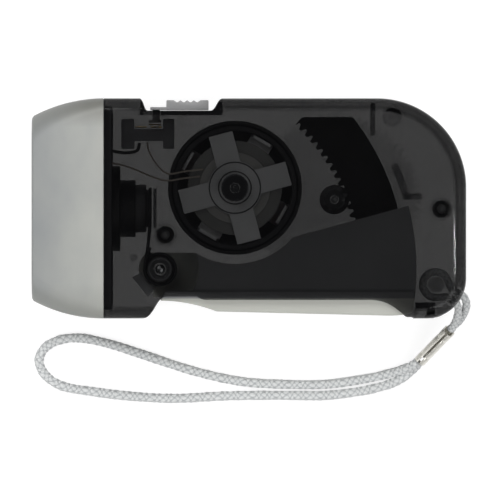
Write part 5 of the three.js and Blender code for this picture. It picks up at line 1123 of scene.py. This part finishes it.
def screw(name, node, at, head_radius, radius, z_head, head_height, z_end, slot_width, body="case"):
    """A slotted screw with a threaded shank, its head facing down."""
    z, pitch = z_head + head_height, 0.5
    profile = [(0, z_head), (head_radius, z_head), (head_radius, z), (radius, z)]
    z += 0.2
    while z + pitch < z_end - 0.3:
        profile += [(radius - 0.16, z), (radius, z + pitch / 2)]
        z += pitch
    made = lathe(name, [*profile, (radius - 0.16, z), (0, z_end)], claw_steel, at, "z", 0.04, 40)
    half = slot_width / 2
    carved(made, block(-4, 4, -half, half, z_head - 1, z_head + head_height * 0.4, place=at))
    hand_over(made, node, body)


screw("shell_screw_one", "shell_screw_front", front_screw, 2.1, 0.95, 0.6, 1.6, 20, 0.6)
screw("shell_screw_two", "shell_screw_tail", tail_screw, 2.1, 0.95, 0.6, 1.6, 20, 0.6)
for i, at in enumerate(screw_places, 1):
    screw(f"sector_screw_steel_{i}", f"sector_screw_{i}", at, 1.8, 0.7, 9.8, 0.8, 17.3, 0.5, "lever_arm")
lamp_route = [(-36.8, 15.2, 15), (-33.1, 14, 15), (-30, 13.5, 15), (-27.1, 14.1, 15), (-26.5, 15.9, 15)]
lead_pvc = plastic("grey_lead_pvc", 0x4C4C4E, 0.45, 0.03, 0.1)
hand_over(tube("lamp_lead_wire", lamp_route, 0.4, lead_pvc)[0], "lamp_lead")
enamel = plastic("brown_wire_enamel", 0xC8BDB2, 0.35, 0.02, 0.15)
# The coil's leads pass over the rotor's rim and down to the bobbin
for i, start, edge_turn, landing_turn in (
        (1, [(-24.6, 15.9, 18), (-24, 13.4, 20.2)], 168, 150),
        (2, [(-33.6, 11.1, 17.5), (-29.6, 10.2, 18.5)], 174, 162)):
    edge, landing = polar(rotor, 16.8, edge_turn), polar(rotor, 8.95, landing_turn)
    halfway = [(a + b) / 2 for a, b in zip(edge, landing)]
    route = [*start, (*edge, 25.0), (*halfway, 24.65), (*landing, 23.0)]
    hand_over(tube(f"coil_lead_wire_{i}", route, 0.22, enamel)[0], f"coil_lead_{i}")
print("small parts ready")

# %% [markdown]
# ## Floor and light
# The photo is a cut-out on pure white. The floor therefore shines white to the camera and keeps
# only a faint shadow, while the torch itself is lit by large soft lamps that stand off the axis,
# so that the flat smoked face mirrors a dark ceiling and stays see-through.

# %% Floor
floor_matt, tree, place = new_material("white_paper_floor")
paper = add(tree, "TexNoise", {"Vector": place, "Scale": 300, "Detail": 3})
grey = add(tree, "Mix", {
    0: paper, 6: (0.30, 0.30, 0.30, 1), 7: (0.31, 0.31, 0.31, 1)}, data_type="RGBA")
lit = add(tree, "BsdfDiffuse", {"Color": grey})
glow = add(tree, "Emission", {"Color": (1, 1, 1, 1), "Strength": 0.84})
bright = add(tree, "AddShader", {0: lit, 1: glow})
plain = add(tree, "BsdfDiffuse", {"Color": (0.5, 0.5, 0.5, 1)})
# It glows only for what looks at it, seen directly, mirrored or through, and doesn't light the torch
path = add(tree, "LightPath")
looked_at = path.outputs["Is Camera Ray"]
for way in ("Is Glossy Ray", "Is Transmission Ray"):
    looked_at = add(tree, "Math", {0: looked_at, 1: path.outputs[way]},
                    operation="MAXIMUM")
choice = add(tree, "MixShader", {0: looked_at, 1: plain, 2: bright})
add(tree, "OutputMaterial", {"Surface": choice})
floor_mesh = bpy.data.meshes.new("floor")
# It lies a tenth of a millimetre under the torch, so that the two never share a face
floor_mesh.from_pydata([(x, y, -0.1 * MM) for x, y in ((-1, -1), (1, -1), (1, 1), (-1, 1))], [],
                       [(0, 1, 2, 3)])
floor_mesh.materials.append(floor_matt)
put("floor", floor_mesh)
print("floor ready")

# %% Lights and world
world = bpy.data.worlds.new("studio")
world.use_nodes = True
bpy.context.scene.world = world
tree = world.node_tree
tree.nodes.clear()
sky = add(tree, "TexCoord")
split = add(tree, "SeparateXYZ", {"Vector": sky.outputs["Generated"]})
ceiling = add(tree, "MapRange", {
    "Value": split.outputs["Z"], "From Min": 0.55, "From Max": 0.95, "To Min": 0.42, "To Max": 0.02})
rays = add(tree, "LightPath")
mirrored = add(tree, "MapRange", {
    "Value": rays.outputs["Is Glossy Ray"], "To Min": ceiling, "To Max": 0.025})
air = add(tree, "Background", {"Color": (1, 1, 1, 1), "Strength": mirrored})
add(tree, "OutputWorld", {"Surface": air})
# Rectangular lamps, each 1.2 m away and aimed at the torch
for name, watts, size, azimuth, tilt in (
        ("key", 6.0, (0.6, 0.6), 125, 28), ("fill", 5.65, (0.6, 0.6), -45, 33),
        ("edge", 3, (0.9, 0.3), 200, 60), ("strip", 1.1, (0.012, 0.3), -2.2, 18)):
    lamp_data = bpy.data.lights.new(name, "AREA")
    lamp_data.energy, lamp_data.shape = watts, "RECTANGLE"
    lamp_data.size, lamp_data.size_y = size
    lamp = put(name, lamp_data)
    tilt = math.radians(tilt)
    away = Vector((*polar((0, 0), math.sin(tilt), azimuth), math.cos(tilt)))
    lamp.location, lamp.rotation_euler = away * 1.2, away.to_track_quat("Z", "Y").to_euler()
bpy.context.scene.view_settings.view_transform = "Standard"
